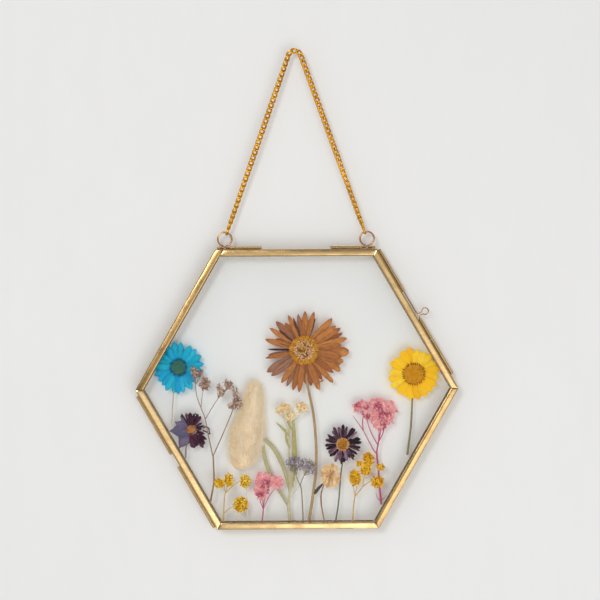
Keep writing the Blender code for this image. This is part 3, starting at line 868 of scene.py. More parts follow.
BAR_FACES = {  # each front bar's inward lean in radians, its crown in mm, and how far its brass is darkened as painted shade (lightened as painted highlight below 0)
    "bottom": (-0.035, 0.07, 0.1),
    "lower_right": (-0.03, 0.15, 0.85),
    "upper_right": (0.02, 0.05, 0.2),
    "top": (-0.01, 0.07, 0.5),
    "upper_left": (-0.04, 0.05, 1.0),
    "lower_left": (0.1, 0.04, -0.5),
}
BAR_CUTS = {"upper_left": ("capped", "mitred"), "top": ("mitred", "butted")}


def side_place(side, along=0.0, outward=0.0, y=0.0):
    """Placement on a side, in mm: local X runs along it and local Z points to the hexagon's centre."""
    turn = Matrix.Rotation(radians(SIDE_TURN[side]), 4, "Y")
    shift = Matrix.Translation((along * MM, 0, -APOTHEM - outward * MM))
    return Matrix.Translation((0, y * MM, CENTRE_Z)) @ turn @ shift


def arc(centre, radius, start, end, steps):
    """Points along an arc, angles in degrees, both ends included."""
    turns = [radians(start + (end - start) * i / steps) for i in range(steps + 1)]
    return [(centre[0] + radius * cos(a), centre[1] + radius * sin(a)) for a in turns]


def bar_section(crown):
    """The bar's folded section: inward distance and depth from its face, in mm, as one closed ring."""
    face, depth = BAR_FACE / MM, LEAF_DEPTH / MM
    middle, half = face * 0.56, face * 0.32
    outer = [(face, 0.74), (face - 0.03, 0.5), (face - 0.12, 0.32), (face - 0.26, 0.08 + crown)]
    outer += [(middle + half * k / 4, crown * (k / 4) ** 2) for k in range(4, -5, -1)]
    outer += [(0.62, crown + 0.055), (0.34, crown + 0.12), (0.12, crown + 0.3), (0.03, 0.62)]
    outer += [(0.0, depth / 2)]
    outer += arc((0.6, depth - 0.6), 0.6, 180, 90, 4)
    outer += [(face, depth)]
    inner = [(face, depth - SHEET), (FOLD, depth - SHEET), (SHEET, depth - FOLD), (SHEET, FOLD)]
    inner += arc((FOLD, FOLD), FOLD - SHEET, 180, 250, 3)
    inner += [(face - 0.9, SHEET + 0.04), (face - 0.35, 0.7)]
    return outer + inner


def bar_end(inward, cut):
    """How far a bar reaches from its middle at an inward distance in mm, for one way of cutting its end."""
    slant = inward * MM / sqrt(3)
    if cut == "butted":
        return SIDE / 2 - 2 * BAR_FACE / sqrt(3) + slant - 0.3 * MM
    if cut == "capped":
        return SIDE / 2 + slant - 0.1 * MM
    return SIDE / 2 - slant - 0.14 * MM


def bar_mesh(name, tilt, crown, cuts, seed, waviness, steps=44):
    """One bar as the hexagon's bottom side: cut at both ends, with a crowned and slightly wavy face."""
    section = bar_section(crown)
    stations = [0.0, 0.004, 0.01] + [(i + 0.5) / steps for i in range(1, steps - 1)] + [0.99, 0.996, 1.0]
    eased = {0.0: 0.12, 0.004: 0.03, 0.996: 0.03, 1.0: 0.12}
    rings = []
    for t in stations:
        ring = []
        for inward, depth in section:
            low, high = -bar_end(inward, cuts[0]), bar_end(inward, cuts[1])
            along = low + (high - low) * t
            swell = abs(wobble(along * 55, inward * 0.3, seed * 3.7)) * waviness
            swell += abs(wobble(along * 240, inward * 0.8, seed * 9.1)) * waviness * 0.3
            edge = wobble(along * 110, seed * 5.1, 8.3) * 0.5 + 0.5
            lean = abs(tilt) * (inward if tilt > 0 else BAR_FACE / MM - inward) * MM
            deep = depth * MM
            if depth < 1.0:
                deep += (swell + lean + eased.get(t, 0) * MM) * (1 - depth)
            inwards = inward * MM + (0.05 * MM * edge if inward < 0.3 else -0.05 * MM * edge)
            if inward < 0.3:
                inwards += eased.get(t, 0) * 0.6 * MM
            ring.append((along, FACE_Y + deep, inwards - APOTHEM))
        rings.append(ring)
    return ring_mesh(name, rings, 32)


def tube_mesh(name, length, outer, bore, seed=0, sides=28, slit=False):
    """A tube along X about the origin, in mm, with its ends eased and its wall slightly uneven."""
    ease = 0.1
    half = length / 2
    profile = [(-half, bore), (-half, outer - ease), (-half + ease, outer)]
    inner_steps = max(2, int(length / 3))
    profile += [(-half + ease + (length - 2 * ease) * i / inner_steps, outer) for i in range(1,
        inner_steps)]
    profile += [(half - ease, outer), (half, outer - ease), (half, bore)]
    rings = []
    for x, radius in profile:
        ring = []
        for k in range(sides):
            turn = 2 * pi * k / sides
            uneven = 1 - 0.025 * abs(wobble(x * 0.3 + seed * 9, cos(turn), sin(turn)))
            if slit and k == 3:
                uneven *= 0.94
            r = radius * MM * (uneven if radius > bore else 1)
            ring.append((x * MM, r * cos(turn), r * sin(turn)))
        rings.append(ring)
    return ring_mesh(name, rings, 35, closed=True)


def solder_mesh(name, length, outer, seed):
    """The solder between a tube and its bar: a lumpy rod in the angle, along X, towards local +Z."""
    steps, sides = max(6, int(length * 1.5)), 8
    rings = []
    for i in range(steps + 1):
        x = (i / steps - 0.5) * (length - 1.2)
        fat = 0.34 + 0.1 * wobble(x * 0.6, seed * 4.0, 1.0)
        fat *= sqrt(max(1 - (2 * i / steps - 1) ** 6, 0.05))
        ring = []
        for k in range(sides):
            turn = 2 * pi * k / sides
            y, z = 1.25 * fat * cos(turn), outer - 0.08 + 0.55 * fat * sin(turn)
            ring.append((x * MM, y * MM, min(z, outer + SOLDER_GAP + 0.2) * MM))
        rings.append(ring)
    return ring_mesh(name, rings, 60)


def soldered_tube(name, node_name, side, outer, bore, seed):
    """The tube that a CAD node stands for, with the solder that holds it to its bar."""
    low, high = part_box(node_name)
    turn = radians(SIDE_TURN[side])
    across = 2 * outer * abs(cos(turn)) * MM
    length = (high.z - low.z - across) / abs(sin(turn)) if abs(sin(turn)) > 0.1 else high.x - low.x
    place = Matrix.Translation((low + high) / 2) @ Matrix.Rotation(turn, 4, "Y")
    tube = tube_mesh(name, length / MM, outer, bore, seed, slit=True)
    solder = solder_mesh(name + "_solder", length / MM, outer, seed)
    for mesh in (tube, solder):
        mesh.transform(place)
        mesh.materials.append(brass_of(SIDE_TURN[side]))
    return joined(name, [linked(name, tube), linked(name + "_solder", solder)])


def wire_piece(name, points, radius, sides=12):
    """A round bronze wire through points in metres, as a closed mesh."""
    pale, dark = linear("#CC9C6E"), linear("#7E5638")
    finish = shared_material("eye_wire", brass_material, pale, dark, rough=(0.2, 0.36))
    curve = curve_through(name, [points])
    for knot in curve.splines[0].points:
        knot.radius = radius * MM
    values = {"Step": 0.25 * MM, "Sides": sides, "Wander": (0, 0, 0), "Finish": finish}
    return grown(name, linked(name + "_seed", curve), tree_named("stalk_along_runs", stalk_tree), values)


def eye_route():
    """A hanging eye from its outer foot, round the ring, to its inner foot, in its own plane, in mm."""
    lean = math.degrees(math.asin(EYE_BEND_X / EYE_RADIUS))
    left = arc((-EYE_BEND_X, EYE_BEND), EYE_BEND, -90, 90 - lean, 10)
    ring = arc((0, EYE_RISE), EYE_RADIUS, -90 - lean, lean - 450, 60)
    right = [(-x, z) for x, z in reversed(left)]
    return [(-EYE_FOOT_OUT, 0)] + left + ring[1:-1] + right + [(EYE_FOOT_IN, 0)]


def link_mesh(pitch, wire, width, around=20, sides=8):
    """One curb link about the origin: an oval ring twisted so that its ends stand square to each other."""
    half_length = (pitch + wire) / 2
    half_width = (width - wire) / 2
    rings = []
    for i in range(around):
        t = 2 * pi * i / around

        def at(angle):
            x = math.copysign(abs(cos(angle)) ** 0.75, cos(angle)) * half_length
            twist = radians(42) * cos(angle)
            return Matrix.Rotation(twist, 3, "X") @ Vector((x, 0, sin(angle) * half_width))

        ahead = (at(t + 0.02) - at(t - 0.02)).normalized()
        inward = (-at(t)).normalized()
        across = ahead.cross(inward).normalized()
        inward = across.cross(ahead)
        ring = []
        for k in range(sides):
            turn = 2 * pi * k / sides
            offset = (inward * cos(turn) + across * sin(turn)) * wire / 2
            ring.append(at(t) + offset)
        rings.append(ring)
    return ring_mesh("link", rings, closed=True)


class FRAME_OT_bars(bpy.types.Operator):
    """Fold and mitre the twelve brass bars of the two leaves"""

    bl_idname = "pressed_frame.bars"
    bl_label = "Bars"

    def execute(self, context):
        waviness = settings().brasswork.waviness
        for leaf in ("front", "back"):
            for seed, (side, degrees) in enumerate(SIDE_TURN.items()):
                # Each front bar's last value darkens or lightens its whole brass as painted shade or
                # painted highlight; the back bars get a little painted shade.
                tilt, crown, painted_dimming = BAR_FACES[side] if leaf == "front" else (0.0, 0.08, 0.3)
                cuts = BAR_CUTS.get(side, ("mitred", "mitred")) if leaf == "front" else ("mitred", "mitred")
                number = seed + (leaf == "back") * 7
                mesh = bar_mesh(f"{leaf}_{side}_bar", tilt, crown, cuts, number, waviness)
                if leaf == "back":
                    mesh.transform(Matrix.Diagonal((1, -1, 1, 1)))
                    mesh.flip_normals()
                turn = Matrix.Rotation(radians(degrees), 4, "Y")
                mesh.transform(Matrix.Translation((0, 0, CENTRE_Z)) @ turn)
                mesh.materials.append(brass_of(degrees, painted_dimming))
                bar = linked(f"{leaf}_{side}_bar", mesh)
                present(bar, f"{leaf}_leaf", "brass", f"{leaf}_bar_{side}")
        return {"FINISHED"}


class FRAME_OT_panes(bpy.types.Operator):
    """Give the two panes their clear glass"""

    bl_idname = "pressed_frame.panes"
    bl_label = "Panes"

    def execute(self, context):
        glass = glass_material(tuple(settings().brasswork.glass_tint))
        for name in ("front_pane", "back_pane"):
            pane = frame["nodes"][name]
            pane.data.materials.clear()
            pane.data.materials.append(glass)
        return {"FINISHED"}


class FRAME_OT_hinge(bpy.types.Operator):
    """Make the hinge barrels and the clasp's tubes, and finish the hinge pins"""

    bl_idname = "pressed_frame.hinge"
    bl_label = "Hinge and tubes"

    def execute(self, context):
        for number in range(1, 5):
            node_name = f"hinge_barrel_{number}"
            tube = soldered_tube(f"barrel_{number}", node_name, "lower_left", BARREL_RADIUS, BARREL_BORE,
                number)
            present(tube, "front_leaf" if number in (2, 4) else "back_leaf", "brass", node_name)
        for seed, part in enumerate(("guide", "keeper", "catch")):
            node_name = f"clasp_{part}"
            tube = soldered_tube(f"{part}_tube", node_name, "upper_right", BARREL_RADIUS, BARREL_BORE,
                seed + 5)
            present(tube, "front_leaf" if part == "catch" else "back_leaf", "brass", node_name)
        for number in (1, 2):
            pin = frame["nodes"][f"hinge_pin_{number}"]
            pin.data.materials.clear()
            pin.data.materials.append(brass_of(60))
        return {"FINISHED"}


class FRAME_OT_hangers(bpy.types.Operator):
    """Bend the two hanging eyes and make the slotted tubes that they turn in"""

    bl_idname = "pressed_frame.hangers"
    bl_label = "Hanging eyes"

    def execute(self, context):
        for side, sign in (("left", 1), ("right", -1)):
            route = [(sign * (x - EYE_X) * MM, 0, SWING_Z + z * MM) for x, z in eye_route()]
            eye = wire_piece(f"eye_{side}", route, EYE_WIRE)
            present(eye, "hanger", "brass", f"hanging_eye_{side}")
            self.tube(side, sign)
        return {"FINISHED"}

    def tube(self, side, sign):
        """One hanger tube, in two closed stretches joined by the trough that its slot leaves."""
        low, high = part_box(f"hanger_tube_{side}")
        outer, bore = HANGER_TUBE_RADIUS, HANGER_TUBE_BORE
        ends = (-sign * EYE_X - SLOT_HALF, -sign * EYE_X + SLOT_HALF)
        spans = ((low.x / MM, ends[0]), (ends[1], high.x / MM))
        pieces = []
        for i, (start, end) in enumerate(spans):
            mesh = tube_mesh(f"stretch_{i}", end - start, outer, bore, i + 11)
            mesh.transform(Matrix.Translation(((start + end) / 2 * MM, 0, SWING_Z)))
            pieces.append(linked(f"{side}_stretch_{i}", mesh))
        trough = self.trough(ends, outer, bore)
        pieces.append(linked(f"{side}_trough", trough))
        for number, (start, end) in enumerate(spans):
            if end - start > 2:
                solder = solder_mesh("solder", end - start, outer, number + 3)
                middle = Matrix.Translation(((start + end) / 2 * MM, 0, SWING_Z))
                solder.transform(middle @ Matrix.Rotation(pi, 4, "X"))
                pieces.append(linked(f"{side}_solder_{number}", solder))
        for piece in pieces:
            piece.data.materials.append(brass_of(0))
        present(joined(f"eye_tube_{side}", pieces), "back_leaf", "brass", f"hanger_tube_{side}")

    def trough(self, ends, outer, bore):
        """The lower part of the tube's wall under the slot."""
        lean = math.degrees(math.asin(-SLOT_FLOOR / outer))
        lean_in = math.degrees(math.asin(-SLOT_FLOOR / bore))
        section = arc((0, 0), outer, 180 + lean, 360 - lean, 14)
        section += arc((0, 0), bore, 360 - lean_in, 180 + lean_in, 10)
        rings = [[(x * MM, y * MM, SWING_Z + z * MM) for y, z in section] for x in ends]
        return ring_mesh("trough", rings, 35)


class FRAME_OT_clasp(bpy.types.Operator):
    """Bend the clasp's wire pin with its finger loop"""

    bl_idname = "pressed_frame.clasp"
    bl_label = "Clasp pin"

    def execute(self, context):
        neck = [(3.2, 0), (2.4, 0.05), (1.3, 0.3), (0.75, 1.1), (0.6, 2.1)]
        loop = arc((0, LOOP_OUT), LOOP_RADIUS, LOOP_OPENING - 90, 270 - LOOP_OPENING, 40)
        route = [(PIN_FOOT - LOOP_ALONG, 0)] + neck + loop + [(-x, out) for x, out in reversed(neck)]
        route.append((PIN_TIP - LOOP_ALONG, 0))
        matrix = side_place("upper_right", SIDE / MM / 2 - LOOP_ALONG, SOLDER_GAP + BARREL_RADIUS)
        points = smooth_run([matrix @ Vector((-x * MM, 0, -out * MM)) for x, out in route], 4)
        present(wire_piece("pin_wire", points, WIRE, 10), "clasp_pin", "brass", "clasp_pin")
        return {"FINISHED"}


class FRAME_OT_chain(bpy.types.Operator):
    """Link the curb chain from eye to eye over the hanging point"""

    bl_idname = "pressed_frame.chain"
    bl_label = "Chain"

    def execute(self, context):
        work = settings().brasswork
        wire = work.link_wire / MM
        eye = Vector((EYE_X, SWING_Z / MM + EYE_RISE))
        top = Vector((0, ARCH_Z))
        reach = (eye - top).length
        lean = math.atan2(eye.y - top.y, eye.x) + math.acos(ARCH_RADIUS / reach)
        touch = top + ARCH_RADIUS * Vector((cos(lean), sin(lean)))
        run = (touch - eye).normalized()
        end_link = EYE_RADIUS - EYE_WIRE - wire / 2 + (work.link_pitch / MM + wire) / 2
        low = eye + run * end_link
        degrees = math.degrees(lean)
        half = [low + (touch - low) * i / 60 for i in range(60)]
        arch = [Vector(p) for p in arc((0, ARCH_Z), ARCH_RADIUS, degrees, 180 - degrees, 24)]
        route = [Vector((-p.x, p.y)) for p in half] + arch[::-1] + half[::-1]
        lengths = [0.0]
        for first, second in zip(route, route[1:]):
            lengths.append(lengths[-1] + (second - first).length)
        curve = curve_through("chain_path", [[(p.x * MM, 0, p.y * MM) for p in route]])
        curve.twist_mode = "Z_UP"
        for knot, length in zip(curve.splines[0].points, lengths):
            knot.tilt = self.twist(length / lengths[-1])
        count = int(round(lengths[-1] / (work.link_pitch / MM))) + 1
        pitch = lengths[-1] / (count - 1) * MM
        link = linked("link", link_mesh(pitch, work.link_wire, work.link_width))
        gilt = shared_material(
            "gilt_links", brass_material, tuple(work.chain), linear("#B8781A"), rough=(0.14, 0.3),
            patina=0.6
        )
        values = {"Link": link, "Count": count, "Finish": gilt}
        tree = tree_named("links_along_path", links_tree)
        chain = grown("curb_chain", linked("chain_seed", curve), tree, values)
        bpy.data.objects.remove(link)
        present(chain, "hanger", "gold_chain", "chain_left", "chain_top", "chain_right")
        return {"FINISHED"}

    def twist(self, way):
        """How far the chain has turned about itself, from one end at 0 to the other at 1."""
        turns = (
            (0.0, 90), (0.03, 52), (0.12, 40), (0.2, 12), (0.36, 8), (0.46, 42), (0.56, 12), (0.76, 8),
            (0.88, 44), (0.97, 52), (1.0, 90),
        )
        for (start, first), (end, last) in zip(turns, turns[1:]):
            if way <= end:
                return radians(first + (last - first) * (way - start) / (end - start))
        return radians(90)


# ---------------------------------------------------------------- specimens


def petals_between(first, last, count, reach, width, draw, jitter=3.0, tint=(0.3, 1.0)):
    """Evenly set petals with small differences: an angle, a reach, a width and a tint each."""
    made = []
    for i in range(count):
        angle = first + (last - first) * i / max(count - 1, 1) + draw.uniform(-jitter, jitter)
        made.append((angle, reach * draw.uniform(0.93, 1.03), width * draw.uniform(0.85, 1.1),
            draw.uniform(*tint)))
    return made


class FRAME_OT_blue_daisy(bpy.types.Operator):
    """Press the blue daisy and its pale stem"""

    bl_idname = "pressed_frame.blue_daisy"
    bl_label = "Blue daisy"

    def execute(self, context):
        plants, draw = seeded(0)
        centre = (-66.1, 12.3)
        blue = tuple(plants.blue)
        petal_finish = plant_material(
            "blue_petal", ("#1A97CC", blue, "#14B2CA", "#2CBEDE"), edges=(0.7, linear("#067CA8")),
            along=[(0.0, (0.4, 0.6, 0.72)), (0.3, (0.9, 0.95, 1.0)), (0.8, (1, 1, 1)),
                (1.0, (1.0, 1.05, 1.05))],
            mottle=0.2,
        )
        codes = ("#0A5670", "#0C6A84", "#2C7A78", "#5A8A6C", "#74966E")
        seed_finish = plant_material("blue_disc", codes, mottle=0.3)
        # angle, distance of the tip and width of each petal
        upper = (
            (8, 14.0, 3.7), (27, 14.1, 4.2), (45, 13.9, 4.0), (60, 13.8, 4.0), (84, 13.9, 3.6),
            (100, 14.2, 4.0), (117, 13.0, 4.0), (146, 12.2, 4.4), (162, 12.2, 4.2), (177, 12.6, 4.2),
        )
        lower = (
            (197, 13.9, 3.8), (213, 13.4, 4.0), (227, 13.1, 3.8), (241, 14.3, 4.0), (259, 14.3, 4.0),
            (269, 14.6, 3.8), (281, 14.1, 3.6), (301, 13.9, 4.4), (352, 12.9, 4.2),
        )
        petals = [(a, r, w, draw.uniform(0.1, 1.0)) for a, r, w in upper + lower]
        under = petals_between(16, 340, 16, 13.0, 3.8, draw, 6.0, (0.0, 0.5))
        shape = petal_shape("blue_petal", base=0.5, shoulder=0.62, point=0.6, teeth=2, bite=0.05,
            ribs=0.1, curl=-0.12)
        pieces = [copies(
            "blue_petals", shape, rays(centre, BACK, petals, 3.4, draw)
            + rays(centre, BACK + 0.25 * MM, under, 3.4, draw), petal_finish,
            plants.crumple / MM, 260.0, 3,
        )]
        pieces.append(dome("blue_cushion", centre, BACK - 0.1 * MM, 3.9, 0.45, seed_finish))
        fringe = petals_between(0, 350, 36, 5.6, 0.62, draw, 2.5, (0.0, 0.25))
        rim = rays(centre, BACK - 0.3 * MM, fringe, 4.0, draw, 20)
        pieces.append(copies("blue_rim", petal_shape("rim", rows=3, columns=2), rim, seed_finish))

        def shade(reach, source):
            return source.uniform(0.0, 0.25) if reach > 0.84 else source.uniform(0.5, 1.0)

        seeds = spiral(centre, BACK - 0.15 * MM, 0.0, 4.3, 170, (0.6, 0.46, 0.46), 0.42, draw, shade)
        pieces.append(copies("blue_seeds", bud_shape(), seeds, seed_finish))
        press(joined("blue_daisy_bloom", pieces), "blue_daisy_head")
        straw = plant_material("blue_daisy_straw", ("#B9A78A", "#D2C3A6"), veins=3.0)
        run = [(((-68.9, -0.8), (-69.1, -3.1), (-69.6, -11.0), (-70.1, -19.7)), BACK + 0.15 * MM, 0.36,
            0.3)]
        stem = stalks("blue_daisy_stalk", run, straw, 2)
        press(stem, "blue_daisy_stem")
        return {"FINISHED"}


class FRAME_OT_yellow_daisy(bpy.types.Operator):
    """Press the yellow daisy and its green-brown stem"""

    bl_idname = "pressed_frame.yellow_daisy"
    bl_label = "Yellow daisy"

    def execute(self, context):
        plants, draw = seeded(1)
        centre = (65.5, 7.8)
        yellow = tuple(plants.yellow)
        petal_finish = plant_material(
            "yellow_petal", ("#F0A00A", yellow, "#FFCC22", "#FFD83C"), edges=(0.5, linear("#EBA610")),
            along=[(0.0, (0.85, 0.68, 0.4)), (0.35, (1, 0.98, 0.92)), (1.0, (1, 1, 1))], mottle=0.13,
        )
        codes = ("#743C04", "#C87E08", "#E09A10", "#EAAE1C", "#F4C43C")
        seed_finish = plant_material("yellow_disc", codes, mottle=0.3)
        petals = []
        for i in range(20):
            angle = 12 + i * 360 / 20 + draw.uniform(-3, 3)
            warm = 0.2 if 270 < angle < 350 else 0.65
            wide = 4.9 * draw.uniform(0.88, 1.12)
            petals.append((angle, 14.9 * draw.uniform(0.9, 1.04), wide, warm + draw.uniform(-0.4, 0.4)))
        shape = petal_shape(
            "yellow_petal", base=0.5, shoulder=0.66, point=0.5, teeth=3, bite=0.06, ribs=0.07, tip=0.3
        )
        pieces = [copies(
            "yellow_petals", shape, rays(centre, BACK, petals, 4.6, draw, 6, 0.6, 0.1), petal_finish,
            plants.crumple / MM,
            260.0, 5,
        )]
        pieces.append(dome("yellow_cushion", centre, BACK - 0.1 * MM, 5.4, 0.45, seed_finish))

        def shade(reach, source):
            return source.uniform(0.0, 0.15) if reach > 0.9 else source.uniform(0.35, 1.0)

        seeds = spiral(centre, BACK - 0.15 * MM, 0.0, 5.5, 210, (0.7, 0.5, 0.5), 0.42, draw, shade)
        pieces.append(copies("yellow_seeds", bud_shape(), seeds, seed_finish))
        rim = []
        for i in range(30):
            rim.append((i * 12 + draw.uniform(-3, 3), 6.7 + draw.uniform(-0.3, 0.4), 0.6,
                draw.uniform(0, 0.12)))
        spots = rays(centre, BACK - 0.42 * MM, rim, 5.5, draw, 20)
        pieces.append(copies("yellow_rim", petal_shape("rim", rows=3, columns=2), spots, seed_finish))
        press(joined("yellow_daisy_bloom", pieces), "yellow_daisy_head")
        green = plant_material("yellow_daisy_green", ("#7E7448", "#9A8E62"), veins=4.0)
        run = [(((64.5, -5.6), (64.3, -8.7), (63.5, -22.0), (61.4, -37.4)), BACK + 0.15 * MM, 0.46, 0.62)]
        run.append((((63.5, -21.0), (64.1, -21.6), (63.6, -22.6)), BACK, 0.4, 0.25))
        stem = stalks("yellow_daisy_stalk", run, green, 4)
        press(stem, "yellow_daisy_stem")
        return {"FINISHED"}


class FRAME_OT_dark_daisy(bpy.types.Operator):
    """Press the dark purple daisy and its grey stem"""

    bl_idname = "pressed_frame.dark_daisy"
    bl_label = "Dark daisy"

    def execute(self, context):
        plants, draw = seeded(2)
        centre = (25.3, -31.2)
        dark = tuple(plants.dark)
        petal_finish = plant_material(
            "dark_petal", ("#1E0E18", dark, "#44243A", "#80586E", "#AE8A9E"),
            edges=(0.4, linear("#1C0C16")),
            along=[(0.0, (1.2, 1.1, 1.15)), (0.55, (1, 1, 1)), (1.0, (0.7, 0.62, 0.68))], mottle=0.35,
        )
        gold = plant_material("dark_disc", ("#8A4E0A", "#C07C1C", "#DC9C38", "#F0C078"), mottle=0.35)
        petals = []
        for i in range(30):
            tint = draw.choice((0.05, 0.2, 0.35, 0.6, 0.85)) + draw.uniform(-0.05, 0.05)
            angle = i * 12 + draw.uniform(-6, 6)
            petals.append((angle, 10.7 * draw.uniform(0.84, 1.04), draw.uniform(1.3, 2.1), tint))
        for i in range(24):
            angle = i * 15 + draw.uniform(-8, 8)
            petals.append((angle, 8.4 * draw.uniform(0.7, 1.05), draw.uniform(1.1, 1.9),
                draw.uniform(0.1, 0.95)))
        shape = petal_shape("dark_petal", base=0.45, shoulder=0.8, point=0.4, ribs=0.16, curl=-0.4,
            columns=4, tip=0.3)
        spots = rays(centre, BACK, petals, 2.8, draw, 35)
        pieces = [copies("dark_petals", shape, spots, petal_finish, (0.7, 0.4, 0.7), 430.0, 6)]
        pieces.append(dome("dark_cushion", centre, BACK - 0.15 * MM, (2.5, 3.0), 0.45, gold))
        fringe = petals_between(0, 348, 30, 3.9, 0.6, draw, 3.0, (0.7, 1.0))
        pieces.append(copies("dark_rim", petal_shape("rim", rows=3, columns=2), rays(
            centre, BACK - 0.4 * MM, fringe, 2.6, draw, 20), gold))

        def shade(reach, source):
            return source.uniform(0.75, 1.0) if reach > 0.86 else source.uniform(0.05, 0.55)

        seeds = spiral(centre, BACK - 0.2 * MM, 0.0, (2.8, 3.3), 100, (0.55, 0.46, 0.46), 0.42, draw, shade)
        pieces.append(copies("dark_seeds", bud_shape(), seeds, gold))
        press(joined("dark_daisy_bloom", pieces), "dark_daisy_head")
        grey_green = plant_material("dark_daisy_green", ("#625E46", "#7E7A5C"), veins=4.0)
        points = ((25.1, -36.5), (25.0, -42.4), (24.1, -48.8), (23.0, -62.5), (21.2, -73.8))
        stem = stalks("dark_daisy_stalk", [(points, BACK + 0.1 * MM, 0.42, 0.4)], grey_green, 5)
        press(stem, "dark_daisy_stem")
        return {"FINISHED"}


class FRAME_OT_brown_flower(bpy.types.Operator):
    """Press the big brown flower, its ringed centre and its long stem"""

    bl_idname = "pressed_frame.brown_flower"
    bl_label = "Brown flower"

    def execute(self, context):
        plants, draw = seeded(3)
        centre = (4.1, 21.5)
        brown = tuple(plants.brown)
        codes = ("#4A2632", "#A47862", "#A0623A", brown, "#D38E4C")
        petal_finish = plant_material(
            "brown_petal", codes, edges=(0.4, linear("#7C4426")), mottle=0.34, veins=13.0, relief=0.8,
            along=[(0.0, (0.72, 0.62, 0.56)), (0.3, (1, 1, 1)), (0.8, (1.06, 1.02, 0.96)),
                (1.0, (0.85, 0.66, 0.62))],
        )
        # angle, distance of the tip, width and tint of each petal
        right = [
            (75, 22.3, 3.2, 0.72), (70, 19.0, 1.6, 0.02), (48, 23.7, 4.2, 0.85), (37, 22.5, 4.0, 0.8),
            (31, 23.9, 3.8, 0.7), (23, 23.6, 3.4, 0.5), (15, 25.0, 3.8, 0.88), (8, 21.0, 3.6, 0.62),
            (359, 25.2, 5.4, 0.72), (350, 21.6, 4.6, 0.66), (342, 22.4, 4.2, 0.6), (332, 23.0, 4.6, 0.74),
        ]
        below = [
            (322, 20.8, 3.4, 0.55), (311, 24.1, 3.2, 0.8), (301, 19.5, 3.2, 0.5), (291, 23.2, 4.4, 0.66),
            (281, 20.4, 3.6, 0.45), (273, 19.0, 3.2, 0.6), (263, 23.7, 3.6, 0.7), (254, 23.5, 3.4, 0.62),
            (244, 22.6, 2.8, 0.3), (235, 22.4, 3.4, 0.78), (218, 23.3, 4.4, 0.26), (210, 24.2, 5.0, 0.24),
        ]
        left = [
            (191, 22.1, 2.6, 0.66), (187, 20.4, 2.2, 0.18), (178, 20.4, 1.4, 0.0), (164, 22.6, 3.4, 0.75),
            (158, 17.0, 3.4, 0.5), (147, 22.9, 3.0, 0.8), (141, 18.0, 1.6, 0.04), (134, 22.5, 4.2, 0.4),
            (124, 18.6, 3.4, 0.55), (114, 21.5, 3.0, 0.78), (108, 19.3, 1.5, 0.03), (99, 20.4, 2.6, 0.3),
            (94, 17.0, 3.2, 0.6), (88, 21.9, 3.4, 0.74), (82, 17.0, 3.0, 0.6),
        ]
        shape = petal_shape("brown_petal", base=0.6, shoulder=0.55, point=0.62, ribs=0.2, curl=-0.2,
            rows=12, columns=8)
        spots = rays(centre, BACK, right + below + left, 6.5, draw, 14, 1.1, 0.16)
        folds = [
            (311, 24.3, 2.6, 1.0), (291, 23.6, 2.8, 0.95), (330, 23.4, 2.8, 1.0), (343, 23.0, 3.0, 0.95),
            (356, 25.0, 4.2, 1.0), (338, 21.8, 2.4, 0.9), (300, 20.4, 2.2, 0.85),
        ]
        folded = petal_shape("fold", base=0.9, shoulder=0.5, point=0.6, ribs=0.2, curl=-0.5, rows=5)
        pieces = [copies("brown_petals", shape, spots, petal_finish, 0.6, 230.0, 8)]
        spots = rays(centre, BACK - 0.3 * MM, folds, 19.4, draw, 25)
        pieces.append(copies("brown_folds", folded, spots, petal_finish, 0.5, 400.0, 9))
        gold = plant_material("brown_ring", ("#8A5410", "#BC7A1A", "#D08E28", "#DFA03C"), mottle=0.4)
        codes = ("#1E1610", "#5E4224", "#D2A476", "#E6CCB0", "#F0DECC")
        pale = plant_material("brown_disc", codes, mottle=0.2)
        pieces.append(dome("brown_cushion", centre, BACK - 0.1 * MM, 8.2, 0.5, gold))
        bracts = []
        for ring, (start, reach, count) in enumerate(((6.2, 8.5, 46), (5.4, 7.6, 42), (4.9, 6.7, 38))):
            ring_petals = [
                (i * 360 / count + draw.uniform(-2, 2), reach + draw.uniform(-0.15, 0.15), 0.95,
                    draw.uniform(0.2, 1))
                for i in range(count)
            ]
            bracts += rays(centre, BACK - (0.35 + 0.08 * ring) * MM, ring_petals, start, draw, 14)
        bract = petal_shape("bract", base=0.7, shoulder=0.5, rows=4, columns=4, thickness=0.14)
        pieces.append(copies("brown_bracts", bract, bracts, gold))

        def shade(reach, source):
            dark = source.random() < (0.4 if reach < 0.62 else 0.08)
            return source.uniform(0.0, 0.2) if dark else source.choice((0.5, 0.7, 0.8, 0.9, 1.0))

        seeds = spiral(centre, BACK - 0.3 * MM, 0.0, 5.3, 150, (0.85, 0.6, 0.6), 0.25, draw, shade)
        pieces.append(copies("brown_seeds", bud_shape(), seeds, pale, 0.3, 900.0, 9))
        press(joined("brown_flower_bloom", pieces), "brown_flower_head")
        bark = plant_material("brown_flower_bark", ("#8E7048", "#AE8E62", "#C0A27A"), veins=4.0,
            mottle=0.25)
        points = ((5.2, 8.0), (6.1, 1.0), (9.1, -14.3), (10.5, -31.0), (10.3, -46.4), (8.9, -57.3),
            (6.4, -73.4))
        stem = stalks("brown_flower_stalk", [(points, BACK, 0.66, 0.84)], bark, 7)
        leaf_finish = plant_material("brown_flower_leaf", ("#3E3A30", "#565040"))
        leaf = blade("stem_leaf", ((9.3, -58.8), (11.0, -56.6), (14.4, -52.7)), 1.9, BACK - 0.6 * MM,
            leaf_finish)
        stem = joined("brown_flower_stalk", [stem, leaf])
        press(stem, "brown_flower_stem")
        return {"FINISHED"}


